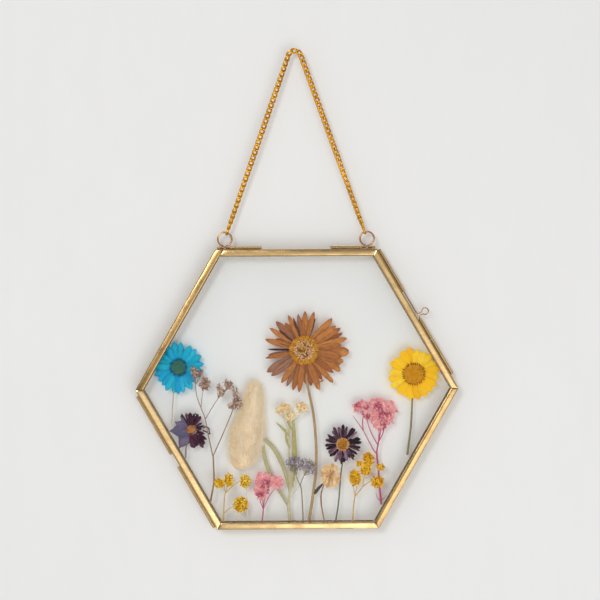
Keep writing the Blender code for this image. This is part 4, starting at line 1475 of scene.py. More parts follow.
class FRAME_OT_violet_flower(bpy.types.Operator):
    """Press the violet flower with its broad grey petals and its curled dark ones"""

    bl_idname = "pressed_frame.violet_flower"
    bl_label = "Violet flower"

    def execute(self, context):
        draw = seeded(4)[1]
        centre = (-59.7, -22.6)
        broad_finish = plant_material(
            "violet_broad", ("#625E7A", "#7A6A86", "#705F76"), edges=(0.85, linear("#46445E")), mottle=0.2
        )
        dark_finish = plant_material(
            "violet_dark", ("#2A1622", "#462438", "#5E2E4A", "#BE94AA"), mottle=0.35, relief=0.8,
            edges=(0.25, linear("#7E4E66")),
        )
        gold = plant_material("violet_centre", ("#94491A", "#C06A28", "#DC9C58", "#F2DCC4"), mottle=0.3)
        broad = [
            (183, 11.6, 7.6, 0.1), (152, 9.8, 6.2, 0.3), (238, 12.2, 7.4, 0.6), (213, 8.2, 5.6, 0.45),
            (126, 9.6, 3.6, 0.9),
        ]
        shape = petal_shape("broad", base=0.7, shoulder=0.35, point=1.3, ribs=0.05, curl=-0.1)
        pieces = [copies(
            "violet_broad", shape, rays(centre, BACK, broad, 0.8, draw, 4), broad_finish, 0.3, 200.0, 4
        )]
        dark = [
            (118, 10.4, 2.2, 0.2), (105, 9.8, 2.0, 0.62), (91, 9.9, 2.4, 0.3), (77, 9.0, 2.2, 0.66),
            (65, 10.0, 2.4, 0.25), (51, 9.8, 2.4, 0.6), (98, 6.4, 2.4, 0.1), (58, 6.6, 2.4, 0.15),
            (281, 10.4, 4.0, 0.62), (294, 9.8, 3.0, 0.3), (305, 12.6, 2.2, 0.62), (318, 11.2, 2.8, 0.25),
            (331, 10.6, 2.4, 0.6), (346, 8.2, 1.8, 0.2), (4, 6.4, 2.0, 0.4), (18, 8.2, 1.4, 0.1),
            (31, 7.6, 1.4, 0.5), (102, 8.8, 0.9, 1.0), (330, 6.0, 0.8, 0.95),
        ]
        shape = petal_shape("curled", base=0.5, shoulder=0.7, point=0.45, ribs=0.25, curl=-0.5, columns=5)
        spots = rays(centre, BACK - 0.1 * MM, dark, 1.6, draw, 40)
        pieces.append(copies("violet_dark", shape, spots, dark_finish, (0.6, 0.3, 0.6), 280.0, 12))
        patches = ((-56.8, -15.6, 2.0, 1.4), (-54.4, -27.0, 1.8, 2.2), (-53.0, -29.6, 1.2, 1.4))
        crumpled = tuft(patches, BACK, 1.6, (1.8, 1, 1.2), draw, (0.1, 0.7), flat=50)
        shape = petal_shape("bit", rows=5, columns=4, curl=-0.5)
        pieces.append(copies("violet_crumpled", shape, crumpled, dark_finish, 0.8, 500.0, 13))
        loop = [
            ((-52.6, -21.6), (-50.9, -20.9), (-49.3, -21.9), (-49.2, -23.6), (-48.6, -25.0)),
            ((-52.8, -23.0), (-51.0, -23.6), (-50.0, -24.4), (-48.6, -25.0)),
        ]
        curls = stalks("violet_curls", [(points, BACK - 0.3 * MM, 0.42, 0.3) for points in loop],
            dark_finish, 3)
        pieces.append(curls)
        pieces.append(dome("violet_cushion", (-59.2, -22.3), BACK - 0.25 * MM, (2.3, 2.1), 0.4, gold))
        seeds = spiral((-59.0, -22.5), BACK - 0.3 * MM, 0.0, (2.7, 2.5), 60, (0.8, 0.42, 0.42), 0.4, draw)
        pieces.append(copies("violet_seeds", bud_shape(), seeds, gold))
        press(joined("violet_flower_bloom", pieces), "violet_flower_head")
        straw = plant_material("violet_straw", ("#86807A", "#A39B90"), veins=3.0)
        points = ((-61.2, -28.0), (-62.2, -33.2), (-62.5, -38.4))
        stem = stalks("violet_flower_stalk", [(points, BACK + 0.15 * MM, 0.3, 0.5)], straw, 6)
        press(stem, "violet_flower_stem")
        return {"FINISHED"}


class FRAME_OT_brown_sprig(bpy.types.Operator):
    """Press the branching brown sprig with its small papery tufts"""

    bl_idname = "pressed_frame.brown_sprig"
    bl_label = "Brown sprig"

    def execute(self, context):
        plants, draw = seeded(5)
        bark = plant_material("sprig_bark", ("#7E6048", "#9C7C60", "#B09272"), veins=3.0)
        paper = plant_material(
            "sprig_paper", ("#5A3C2C", "#94705C", "#BC9884", "#D6B8A4", "#ECD8C8"), mottle=0.25
        )
        stem = [(((-47.0, -36.4), (-46.6, -49.6), (-47.3, -55.6), (-48.6, -62.4)), FRONT, 0.42, 0.55)]
        stem = stalks("brown_sprig_stalk", stem, bark, 8)
        press(stem, "brown_sprig_stem")

        right = [(((-47.0, -37.0), (-41.7, -25.4), (-36.8, -13.9), (-35.4, -9.4)), FRONT, 0.38, 0.26)]
        tips = [(-36.8, -8.6), (-34.6, -7.4), (-32.6, -6.0), (-33.4, -3.2), (-34.4, -1.0), (-31.4, -8.0)]
        right += fan((-36.0, -11.2), tips, FRONT, 0.2, 0.12, draw)
        tufts = ((-36.2, -8.8, 1.6, 1.6), (-33.2, -8.2, 2.2, 2.2), (-33.8, -4.4, 1.5, 2.4),
            (-34.6, -0.9, 0.9, 1.6))
        self.branch("right", right, tufts, bark, paper, draw, plants.florets)

        left = [
            (((-47.2, -37.0), (-49.9, -24.1), (-51.3, -16.3), (-53.6, -10.2), (-56.0, -3.0),
                (-56.9, 6.0)), FRONT, 0.38, 0.22),
            (((-53.6, -10.2), (-53.0, -4.6), (-52.2, -0.4)), FRONT, 0.24, 0.18),
            (((-51.1, -16.5), (-48.5, -12.0), (-45.1, -6.6), (-42.7, -3.6), (-40.0, -0.6), (-36.4, 2.6)),
                FRONT, 0.28, 0.16),
        ]
        left += fan((-56.4, 3.0), [(-58.6, 12.4), (-56.8, 9.6), (-55.0, 8.2), (-53.4, 8.8)], FRONT, 0.2,
            0.12, draw)
        left += fan((-44.0, -5.2), [(-44.2, 0.6), (-42.8, 1.6), (-41.6, -0.4)], FRONT, 0.18, 0.12, draw)
        left += fan((-40.0, -0.8), [(-39.0, 4.4), (-37.4, 3.0), (-36.4, 1.0), (-35.4, 4.0)], FRONT, 0.18,
            0.12, draw)
        tufts = (
            (-51.5, 3.3, 2.5, 3.3), (-57.6, 11.2, 1.1, 1.8), (-56.6, 8.2, 1.3, 1.4), (-54.2, 9.2, 1.6, 0.9),
            (-43.2, 0.8, 1.3, 1.3), (-42.0, -1.6, 1.6, 1.2), (-39.4, 3.2, 1.0, 1.9), (-37.6, 2.0, 1.7, 1.4),
        )
        self.branch("left", left, tufts, bark, paper, draw, plants.florets)
        return {"FINISHED"}

    def branch(self, side, runs, tufts, bark, paper, draw, density):
        """One branch with its twigs, its papery cups and their dark points."""
        layer = FRONT - 0.1 * MM
        pieces = [stalks(f"sprig_{side}_twigs", runs, bark, 9, step=0.4, sides=6)]
        cups = tuft(tufts, layer, 4.2, (1.5, 1, 0.8), draw, (0.2, 1.0), 0.4, 40, density)
        cup = petal_shape("cup", base=0.3, shoulder=0.6, rows=4, columns=4, curl=-0.35, thickness=0.1)
        pieces.append(copies(f"sprig_{side}_cups", cup, cups, paper, 0.4, 700.0, 2))
        points = tuft(
            tufts, layer - 0.15 * MM, 2.0, (1.5, 0.28, 0.28), draw, (0.0, 0.4), 0.4, 60, density
        )
        pieces.append(copies(f"sprig_{side}_points", bud_shape(), points, paper))
        node_name = f"brown_sprig_{side}"
        press(joined(f"brown_sprig_{side}_branch", pieces), node_name)


BUNNY_TAIL = (  # outline, clockwise from the tip, in mm
    (-23.8, 4.0), (-21.6, 2.8), (-20.0, 0.4), (-19.4, -6.0), (-19.3, -12.3), (-18.9, -20.0), (-19.0, -27.0),
    (-20.4, -33.0), (-22.6, -39.6), (-25.0, -43.0), (-28.0, -44.6), (-34.2, -45.2), (-36.4, -42.8),
    (-37.3, -36.0), (-37.4, -30.0), (-36.8, -25.0), (-34.4, -19.6), (-31.8, -14.4), (-29.8, -9.0),
    (-28.2, -3.0), (-26.4, 1.6),
)


class FRAME_OT_bunny_tail(bpy.types.Operator):
    """Press the soft cream grass head and its pale stem"""

    bl_idname = "pressed_frame.bunny_tail"
    bl_label = "Bunny tail"

    def execute(self, context):
        plants, draw = seeded(6)
        cream = tuple(plants.cream)
        codes = ("#F0C8A8", "#F8DCAE", cream, "#FFF0D4", "#FFFAEE")
        fluff = plant_material(
            "tail_fluff", codes, mottle=0.08, rough=0.9, relief=0.2,
            along=[(0.0, (0.94, 0.9, 0.84)), (0.5, (1, 1, 1)), (1.0, (1.02, 1.0, 0.94))],
        )
        core_finish = plant_material("tail_core", ("#FCDCB0", "#FFE8C4"), mottle=0.05, rough=0.9,
            relief=0.2)
        core = self.core(core_finish)
        hairs = self.hairs(plants.hairs, draw)
        coat = copies("tail_hairs", hair_shape(), hairs, fluff, (0.5, 0.15, 0.2), 260.0, 4)
        press(joined("bunny_tail_plume", [core, coat]), "bunny_tail_head")
        straw = plant_material("tail_straw", ("#DCD8C8", "#E8E2D0"), veins=3.0)
        run = [(((-28.6, -41.0), (-28.7, -46.3), (-28.5, -60.0), (-28.3, -73.7)), BACK, 0.3, 0.26)]
        stem = stalks("bunny_tail_stalk", run, straw, 10)
        press(stem, "bunny_tail_stem")
        return {"FINISHED"}

    def spine(self, z):
        """The middle of the head at a height."""
        crossings = []
        for (x1, z1), (x2, z2) in zip(BUNNY_TAIL, BUNNY_TAIL[1:] + BUNNY_TAIL[:1]):
            if min(z1, z2) <= z < max(z1, z2):
                crossings.append(x1 + (x2 - x1) * (z - z1) / (z2 - z1))
        if len(crossings) < 2:
            return -23.8 if z > 0 else -30.5, 0.1
        return (min(crossings) + max(crossings)) / 2, (max(crossings) - min(crossings)) / 2

    def core(self, finish):
        """The flattened body of the head, domed towards both panes."""
        rings = []
        levels, sides = 30, 24
        for i in range(levels + 1):
            z = -44.4 + 46.6 * i / levels
            middle, half = self.spine(z)
            if i in (0, levels):
                half *= 0.7
            ring = []
            for k in range(sides):
                turn = 2 * pi * k / sides
                lump = 1 + 0.12 * wobble(middle * 0.3 + cos(turn), z * 0.16, sin(turn) * 2)
                place = spot_at(middle + 0.8 * half * lump * cos(turn), z, BACK)
                place.y += 0.46 * min(1, half / 3) * lump * sin(turn) * MM
                ring.append(place)
            rings.append(ring)
        mesh = tinted(ring_mesh("tail_core", rings))
        mesh.materials.append(finish)
        return linked("tail_core", mesh)

    def hairs(self, count, draw):
        """Spots for hairs that lean up and out from the head's middle line."""
        spots = []
        while len(spots) < count:
            z = draw.uniform(-45.0, 3.5)
            middle, half = self.spine(z)
            way = draw.uniform(-1, 1)
            if draw.random() > half / 9.5:
                continue
            x = middle + way * half
            lean = 88 - way * (25 + 16 * max(0, (-30 - z) / 15)) + draw.uniform(-15, 15)
            side = -1 if draw.random() < 0.75 else 1
            lift = 0.42 * sqrt(max(1 - way * way, 0.02)) + draw.uniform(-0.04, 0.12)
            place = spot_at(x, z, BACK + side * lift * MM)
            length = draw.uniform(2.6, 5.8) * (0.6 + 0.4 * min(1, half / 6))
            euler = (draw.uniform(-0.3, 0.3) + (pi if draw.random() < 0.5 else 0), -radians(lean), 0)
            thick, tint = draw.uniform(0.09, 0.15), draw.uniform(0.4, 1.0) - 0.2 * max(0, -way)
            if z < -22 and abs(way) < 0.7 and draw.random() < 0.16:
                tint = draw.uniform(0.0, 0.2)
            spots.append((place, euler, (length * MM, thick * MM, thick * MM), tint))
        return spots


def button_spots(heads, layer, draw, density=1.0):
    """Spots for the florets of button heads: each head is a centre and two half widths in mm."""
    spots = []
    for x, z, wide, tall in heads:
        count = int(12 + 3.2 * wide * tall * density)
        spots += spiral((x, z), layer, 0.0, (wide * 0.95, tall * 0.95), count, (0.7, 0.95, 0.95), 0.45,
            draw)
    return spots


class FRAME_OT_button_sprigs(bpy.types.Operator):
    """Press the yellow and the orange button sprigs"""

    bl_idname = "pressed_frame.button_sprigs"
    bl_label = "Button sprigs"

    def execute(self, context):
        plants, draw = seeded(7)
        button = tuple(plants.button)
        twig = plant_material("button_twig", ("#C09A48", "#D8B25C", "#CCB070"), veins=3.0)
        yellow = plant_material("yellow_button", ("#B87406", "#E6A80C", button, "#FFDC2A", "#FFF088"),
            mottle=0.18)
        runs = [
            (((-38.9, -53.4), (-40.1, -57.4), (-40.7, -59.7), (-41.3, -68.3), (-41.4, -73.8)), FRONT, 0.2,
                0.42),
            (((-40.2, -57.4), (-40.9, -55.6), (-40.6, -53.4)), FRONT, 0.22, 0.16),
            (((-40.0, -57.6), (-36.4, -54.2), (-31.4, -50.6)), FRONT, 0.3, 0.2),
            (((-41.2, -69.3), (-38.6, -66.8), (-35.4, -65.2)), FRONT, 0.3, 0.22),
        ]
        heads = ((-43.6, -52.3, 2.9, 2.8), (-38.3, -50.6, 2.4, 3.9), (-29.2, -51.4, 2.9, 4.0),
            (-31.8, -64.3, 4.1, 4.7))
        self.sprig("yellow_sprig", runs, heads, twig, yellow, draw)
        orange = plant_material("orange_button", ("#A86404", "#E29C0A", "#F8BE10", "#FFD222", "#FFE468"),
            mottle=0.18)
        runs = [
            (((32.6, -52.0), (33.0, -54.6), (32.0, -60.2), (31.3, -64.5), (30.6, -73.8)), FRONT, 0.2, 0.42),
            (((31.9, -60.2), (31.1, -54.6), (30.2, -51.0)), FRONT, 0.24, 0.16),
            (((31.9, -60.4), (36.8, -54.6), (40.7, -51.9), (42.6, -51.2)), FRONT, 0.3, 0.2),
            (((36.4, -55.2), (37.0, -50.6), (38.0, -47.4)), FRONT, 0.26, 0.2),
            (((37.4, -50.2), (41.0, -48.8), (44.6, -47.4)), FRONT, 0.16, 0.14),
            (((35.8, -43.6), (34.8, -42.4)), FRONT, 0.16, 0.16),
        ]
        heads = (
            (39.5, -39.6, 3.2, 4.4), (38.0, -45.6, 3.0, 3.0), (34.3, -41.9, 1.3, 1.3),
            (32.1, -49.7, 3.4, 4.7),
            (46.3, -43.9, 2.2, 1.9), (44.6, -52.1, 3.7, 3.3), (36.9, -42.6, 0.9, 0.8),
        )
        self.sprig("orange_sprig", runs, heads, twig, orange, draw)
        return {"FINISHED"}

    def sprig(self, name, runs, heads, twig, button, draw):
        """One sprig: its twigs, and heads packed with tiny florets."""
        # The cushions under the florets are a darker orange as painted shade in the gaps between florets.
        under = shared_material("button_under", plant_material, ("#C8860C", "#DA9C12"))
        layer = FRONT - 0.05 * MM
        pieces = [stalks(f"{name}_twigs", runs, twig, 11, step=0.4, sides=7)]
        for i, (x, z, wide, tall) in enumerate(heads):
            pieces.append(dome(f"{name}_cushion_{i}", (x, z), layer, (wide * 0.92, tall * 0.92), 0.2,
                under, 18))
        spots = button_spots(heads, layer, draw)
        pieces.append(copies(f"{name}_florets", bud_shape(), spots, button, (0.7, 0.2, 0.7), 450.0, 3))
        press(joined(f"{name}_twigs_and_buttons", pieces), f"{name}_stem")


class FRAME_OT_pink_sprigs(bpy.types.Operator):
    """Press the small and the tall pink sprigs"""

    bl_idname = "pressed_frame.pink_sprigs"
    bl_label = "Pink sprigs"

    def execute(self, context):
        plants, draw = seeded(8)
        pink = tuple(plants.pink)
        twig = plant_material("pink_twig", ("#A84268", "#C45678", "#D26C8A"), veins=3.0)
        bloom = plant_material(
            "pink_floret", ("#983656", "#C25C76", "#E0868E", pink, "#F6B8B2"), mottle=0.22,
            along=[(0.0, (0.9, 0.8, 0.85)), (0.5, (1, 1, 1)), (1.0, (1.05, 1.05, 1.05))],
        )
        runs = [
            (((-19.4, -62.0), (-19.3, -68.0), (-19.9, -73.8)), FRONT, 0.3, 0.38),
            (((-19.4, -66.6), (-21.2, -61.4), (-22.0, -55.0)), FRONT, 0.26, 0.16),
            (((-19.3, -66.4), (-18.4, -61.6), (-17.6, -54.0)), FRONT, 0.26, 0.16),
            (((-19.2, -66.8), (-15.9, -59.7), (-11.6, -54.4)), FRONT, 0.26, 0.16),
        ]
        stem = stalks("pink_sprig_small_stalk", runs, twig, 12, step=0.4, sides=7)
        press(stem, "pink_sprig_small_stem")
        patches = (
            (-21.0, -50.6, 2.4, 3.2), (-18.6, -49.2, 2.2, 2.4), (-20.6, -56.6, 2.6, 4.6),
            (-18.4, -54.6, 2.2, 5.0),
            (-12.0, -51.8, 3.0, 3.3), (-15.2, -51.4, 1.6, 2.6),
        )
        dark = ((-18.0, -51.6, 2.4, 1.6), (-20.8, -58.6, 2.2, 1.8), (-16.6, -54.6, 0.9, 3.6),
            (-19.6, -54.4, 1.6, 1.2))
        tuft_piece = self.mass("pink_small", patches, dark, FRONT, bloom, draw, plants.florets)
        press(tuft_piece, "pink_sprig_small_tuft")

        points = ((46.2, -22.0), (46.4, -24.6), (45.0, -32.0), (44.4, -36.6), (45.2, -45.6), (46.6, -65.0))
        runs = [
            (points, BACK, 0.3, 0.62),
            (((44.5, -36.0), (42.9, -35.1), (36.8, -23.6), (31.2, -15.4)), BACK, 0.42, 0.12),
            (((36.8, -23.6), (36.6, -18.6), (36.9, -14.0), (34.8, -10.4)), BACK, 0.34, 0.2),
            (((45.3, -32.4), (41.2, -24.6), (39.0, -17.0), (39.6, -13.2)), BACK, 0.32, 0.18),
            (((45.6, -29.6), (47.8, -25.4), (48.6, -20.4)), BACK, 0.34, 0.2),
            (((45.2, -31.0), (45.6, -25.4), (45.4, -21.0)), BACK, 0.26, 0.16),
            (((37.0, -15.4), (35.2, -12.8), (33.0, -11.2)), BACK, 0.2, 0.14),
            (((46.5, -63.4), (44.6, -61.4), (43.8, -58.6)), BACK, 0.26, 0.12),
            (((46.6, -62.6), (48.6, -61.2), (50.0, -59.6)), BACK, 0.22, 0.12),
        ]
        stem = stalks("pink_sprig_stalk", runs, twig, 13, step=0.5, sides=8)
        press(stem, "pink_sprig_stem")
        patches = (
            (43.2, -8.2, 2.6, 2.6), (46.0, -7.4, 2.4, 1.8), (50.6, -12.8, 4.6, 5.0),
            (46.6, -18.6, 4.2, 4.2),
            (51.0, -17.8, 3.0, 2.4), (44.2, -13.6, 2.4, 3.4), (35.6, -9.6, 3.2, 2.4),
            (33.0, -10.8, 1.4, 2.2),
            (38.2, -9.4, 1.6, 2.0), (39.2, -15.4, 1.8, 1.6),
        )
        dark = (
            (45.2, -10.8, 2.6, 2.2), (47.4, -15.2, 2.4, 2.8), (48.4, -20.2, 1.8, 2.8),
            (45.0, -8.6, 1.6, 1.4),
            (50.6, -14.6, 2.0, 1.8), (33.6, -10.0, 1.6, 2.0), (38.6, -10.2, 1.2, 1.8),
            (39.2, -15.8, 1.8, 1.4),
        )
        tuft_piece = self.mass("pink_tall", patches, dark, BACK, bloom, draw, plants.florets)
        press(tuft_piece, "pink_sprig_tuft")
        return {"FINISHED"}

    def mass(self, name, patches, dark, layer, finish, draw, density):
        """A flat mass of overlapping florets with darker buds worked into it."""
        petals = tuft(patches, layer, 2.6, (1.7, 1, 1.35), draw, (0.55, 1.0), 0.3, 16, density)
        petal = petal_shape("scale", base=0.5, shoulder=0.6, rows=4, columns=4, thickness=0.09)
        pieces = [copies(f"{name}_petals", petal, petals, finish, (0.4, 0.1, 0.4), 500.0, 5)]
        buds = tuft(dark, layer - 0.35 * MM, 4.2, (0.85, 0.45, 0.45), draw, (0.0, 0.35), 0.2, 50, density)
        pieces.append(copies(f"{name}_buds", bud_shape(), buds, finish))
        stars = tuft(dark, layer - 0.25 * MM, 0.9, (1.3, 1, 1.3), draw, (0.25, 0.7), 0.2, 30, density)
        pieces.append(copies(f"{name}_stars", floret_shape(), stars, finish))
        return joined(f"{name}_tuft", pieces)


class FRAME_OT_leaf_blades(bpy.types.Operator):
    """Press the two olive leaf blades"""

    bl_idname = "pressed_frame.leaf_blades"
    bl_label = "Leaf blades"

    def execute(self, context):
        finish = plant_material(
            "blade_olive", ("#B0A87C", "#C2B88E"), edges=(0.4, linear("#938A5C")), veins=11.0, mottle=0.22,
            along=[(0.0, (1.1, 1.02, 0.86)), (0.4, (1, 1, 1)), (1.0, (0.92, 0.95, 0.9))],
        )
        upper = ((-19.2, -28.0), (-16.8, -29.4), (-12.6, -34.2), (-8.9, -41.5), (-6.6, -48.2),
            (-4.6, -57.4))
        piece = blade("olive_blade_upper", upper, 2.5, BACK - 0.25 * MM, finish)
        press(piece, "leaf_blade_upper")
        lower = ((-19.0, -31.6), (-18.2, -38.8), (-15.2, -48.2), (-11.3, -55.0), (-5.6, -65.6))
        piece = blade("olive_blade_lower", lower, 2.3, BACK + 0.1 * MM, finish)
        press(piece, "leaf_blade_lower")
        return {"FINISHED"}


class FRAME_OT_cream_sprig(bpy.types.Operator):
    """Press the tall cream sprig with its olive leaf"""

    bl_idname = "pressed_frame.cream_sprig"
    bl_label = "Cream sprig"

    def execute(self, context):
        plants, draw = seeded(9)
        straw = plant_material("cream_straw", ("#B8AC7C", "#CCC096", "#DCD2AE"), veins=6.0)
        codes = ("#A69E62", "#B6AC6E", "#C2B87E")
        olive = plant_material("cream_olive", codes, edges=(0.45, linear("#8A8048")), veins=11.0)
        codes = ("#C4965A", "#E8C084", "#F4D6A0", "#F8E6BE", "#FBF2DC")
        bloom = plant_material("cream_floret", codes, mottle=0.14)
        trunk = ((-4.3, -12.0), (-4.6, -26.5), (-4.7, -37.2), (-4.2, -51.5), (-4.5, -58.8), (-5.1, -65.5),
            (-4.5, -73.8))
        runs = [
            (trunk, BACK, 0.3, 0.9),
            (((-3.0, -38.0), (-3.2, -51.0), (-4.2, -60.0), (-4.8, -66.0)), BACK, 0.5, 0.3),
            (((-4.6, -22.0), (-6.4, -16.8), (-10.4, -13.6)), BACK - 0.1 * MM, 0.2, 0.14),
            (((-4.6, -21.0), (-4.9, -15.6), (-6.2, -12.6)), BACK - 0.1 * MM, 0.2, 0.14),
            (((-2.6, -20.0), (0.4, -15.6), (4.2, -12.6)), BACK - 0.1 * MM, 0.2, 0.14),
            (((-3.9, -60.6), (-1.4, -57.6), (1.2, -53.8), (3.2, -49.8)), BACK + 0.1 * MM, 0.22, 0.14),
            (((-4.8, -63.6), (-8.2, -58.8), (-11.0, -55.4)), BACK + 0.1 * MM, 0.26, 0.16),
            (((-4.0, -27.0), (-6.4, -19.4), (-8.6, -14.8)), BACK - 0.1 * MM, 0.26, 0.16),
            (((-3.9, -24.6), (-1.6, -17.4), (1.4, -12.4)), BACK - 0.1 * MM, 0.26, 0.16),
        ]
        pieces = [stalks("cream_twigs", runs, straw, 14)]
        for number, points in enumerate((
            ((-4.6, -26.6), (-7.6, -22.8), (-11.6, -18.8)),
            ((-4.2, -33.4), (-6.0, -28.6), (-6.4, -22.4)),
            ((-3.6, -22.6), (-5.4, -17.0), (-5.0, -12.0)),
        )):
            pieces.append(blade(f"cream_leaflet_{number}", points, 1.3, BACK - 0.35 * MM, olive))
        heads = (
            (-9.8, -12.0, 2.2, 1.9), (-6.2, -11.4, 2.2, 2.4), (-7.4, -9.4, 2.0, 1.2),
            (2.4, -10.4, 3.0, 2.6),
            (-2.2, -14.4, 1.6, 1.6), (-4.6, -16.4, 1.6, 1.6),
        )
        petals = tuft(
            heads, BACK - 0.25 * MM, 4.2, (1.4, 1, 0.9), draw, (0.3, 1.0), 0.4, 35, plants.florets
        )
        petal = petal_shape("cream_petal", base=0.4, shoulder=0.6, rows=4, columns=4, curl=-0.2,
            thickness=0.1)
        pieces.append(copies("cream_petals", petal, petals, bloom, 0.4, 500.0, 5))
        buds = tuft(heads, BACK - 0.5 * MM, 1.6, (0.8, 0.45, 0.45), draw, (0.0, 0.4), 0.1, 50)
        pieces.append(copies("cream_buds", bud_shape(), buds, bloom))
        press(joined("cream_sprig_stalk", pieces), "cream_sprig_stem")
        leaf = ((-3.4, -55.0), (-2.0, -45.0), (-1.6, -37.2), (-1.9, -25.1), (-2.4, -13.6))
        piece = blade("cream_sprig_blade", leaf, 2.7, BACK - 0.1 * MM, olive)
        press(piece, "cream_sprig_leaf")
        return {"FINISHED"}


class FRAME_OT_statice(bpy.types.Operator):
    """Press the lilac statice"""

    bl_idname = "pressed_frame.statice"
    bl_label = "Statice"

    def execute(self, context):
        plants, draw = seeded(10)
        twig = plant_material("statice_twig", ("#7E6E56", "#988A70", "#AC9E84"), veins=3.0)
        bloom = plant_material("statice_floret", ("#6E6070", "#908298", "#A496B0", "#B4A4C4", "#D8CEDC"),
            mottle=0.16)
        green = plant_material("statice_bract", ("#6E5E48", "#9C8E74", "#C6BEA8"), mottle=0.25)
        runs = [(((1.4, -53.0), (2.2, -56.9), (2.6, -64.0), (3.0, -73.8)), FRONT, 0.34, 0.4)]
        stem = stalks("statice_stalk", runs, twig, 15)
        press(stem, "statice_stem")
        runs = [
            (((1.5, -54.2), (0.0, -50.6), (-1.3, -46.8), (-3.6, -43.4)), FRONT, 0.32, 0.16),
            (((1.4, -53.8), (2.6, -50.4), (4.0, -47.7), (7.2, -43.6)), FRONT, 0.32, 0.16),
        ]
        runs += fan((-0.6, -47.8), [(-5.4, -41.6), (-3.6, -39.8), (-1.0, -39.0), (0.8, -41.6)], FRONT,
            0.2, 0.12, draw)
        runs += fan((3.6, -48.4), [(9.4, -43.6), (8.0, -41.0), (5.4, -39.6), (3.2, -40.6), (9.6, -46.4)],
            FRONT, 0.2, 0.12, draw)
        pieces = [stalks("statice_twigs", runs, twig, 16, step=0.4, sides=6)]
        patches = (
            (-4.6, -41.4, 1.9, 2.6), (-2.4, -40.2, 2.4, 2.4), (0.6, -41.0, 2.4, 2.6),
            (3.6, -41.6, 2.4, 2.6),
            (6.6, -42.4, 2.4, 2.6), (8.9, -44.0, 1.5, 2.8), (1.6, -43.8, 2.6, 1.6),
            (-3.0, -44.6, 1.6, 1.6), (5.6, -45.4, 2.0, 1.4), (9.2, -46.6, 0.9, 1.2),
        )
        cups = tuft(patches, FRONT, 1.9, (1.2, 1, 0.5), draw, (0.0, 1.0), 0.4, 40, plants.florets)
        cup = petal_shape("cup", base=0.3, shoulder=0.6, rows=4, columns=4, curl=-0.35, thickness=0.1)
        pieces.append(copies("statice_bracts", cup, cups, green, 0.4, 600.0, 2))
        stars = tuft(
            patches, FRONT - 0.2 * MM, 1.2, (1.1, 1, 1.1), draw, (0.1, 1.0), 0.35, 45, plants.florets
        )
        pieces.append(copies("statice_stars", floret_shape(), stars, bloom, 0.3, 600.0, 3))
        press(joined("statice_tuft", pieces), "statice_cluster")
        return {"FINISHED"}


class FRAME_OT_peach_flower(bpy.types.Operator):
    """Press the fringed peach flower"""

    bl_idname = "pressed_frame.peach_flower"
    bl_label = "Peach flower"

    def execute(self, context):
        draw = seeded(11)[1]
        petal_finish = plant_material(
            "peach_petal", ("#B88450", "#DCAC72", "#ECC692", "#F3D6AC", "#F8E6C8"), mottle=0.16, veins=10.0,
            along=[(0.0, (0.85, 0.72, 0.6)), (0.5, (1, 1, 1)), (1.0, (1.02, 0.98, 0.9))],
        )
        centre = (18.5, -48.6)
        shape = petal_shape("peach_petal", base=0.4, shoulder=0.85, point=0.35, teeth=4, bite=0.14,
            ribs=0.16, tip=0.5)
        rings = ((38, 5.0, 1.6, 1.5, 0.3), (32, 3.9, 0.9, 1.3, 0.5), (22, 2.7, 0.3, 1.1, 0.2))
        pieces = []
        for rank, (count, reach, start, width, pale) in enumerate(rings):
            petals = []
            for i in range(count):
                angle = i * 360 / count + draw.uniform(-5, 5)
                tall = 1 + 0.3 * abs(sin(radians(angle - 12))) ** 1.5
                far = reach * tall * draw.uniform(0.88, 1.1)
                petals.append((angle, far, width * draw.uniform(0.8, 1.2), pale + draw.uniform(-0.2, 0.5)))
            spots = rays(centre, FRONT - 0.2 * rank * MM, petals, start, draw, 30, 1.0, 0.12)
            pieces.append(copies(
                f"peach_ring_{rank}", shape, spots, petal_finish, (0.6, 0.3, 0.6), 420.0, 14 + rank
            ))
        pieces.append(dome("peach_cushion", centre, FRONT + 0.1 * MM, (3.6, 4.4), 0.3, petal_finish, 20))
        press(joined("peach_flower_bloom", pieces), "peach_flower_head")
        red = plant_material("peach_stalk", ("#7E3A34", "#94604A", "#A88C66"),
            along=[(0.0, (1.1, 1.2, 1.0)), (0.55, (0.9, 0.55, 0.55)), (0.62, (1, 0.6, 0.6)),
            (1.0, (1.2, 1.5, 1.4))], veins=3.0)
        runs = [
            (((15.2, -52.6), (13.9, -55.6), (13.0, -59.9), (13.3, -65.6), (14.7, -73.6)), FRONT, 0.34,
                0.36),
            (((13.0, -59.6), (13.0, -62.4), (13.3, -66.2)), FRONT, 0.42, 0.42),
        ]
        stem = stalks("peach_flower_stalk", runs, red, 17)
        press(stem, "peach_flower_stem")
        return {"FINISHED"}


# ---------------------------------------------------------------- stage

CAMERA_ASIDE = 2.056 * MM
CAMERA_RISE = 49.56 * MM  # above the hexagon's centre
DIM_WAY = (0.0, -1.0, 0.05)  # the middle of the surround's dim front
PATCH_WAY = (0.12, -0.985, -0.1)  # the middle of its bright patch


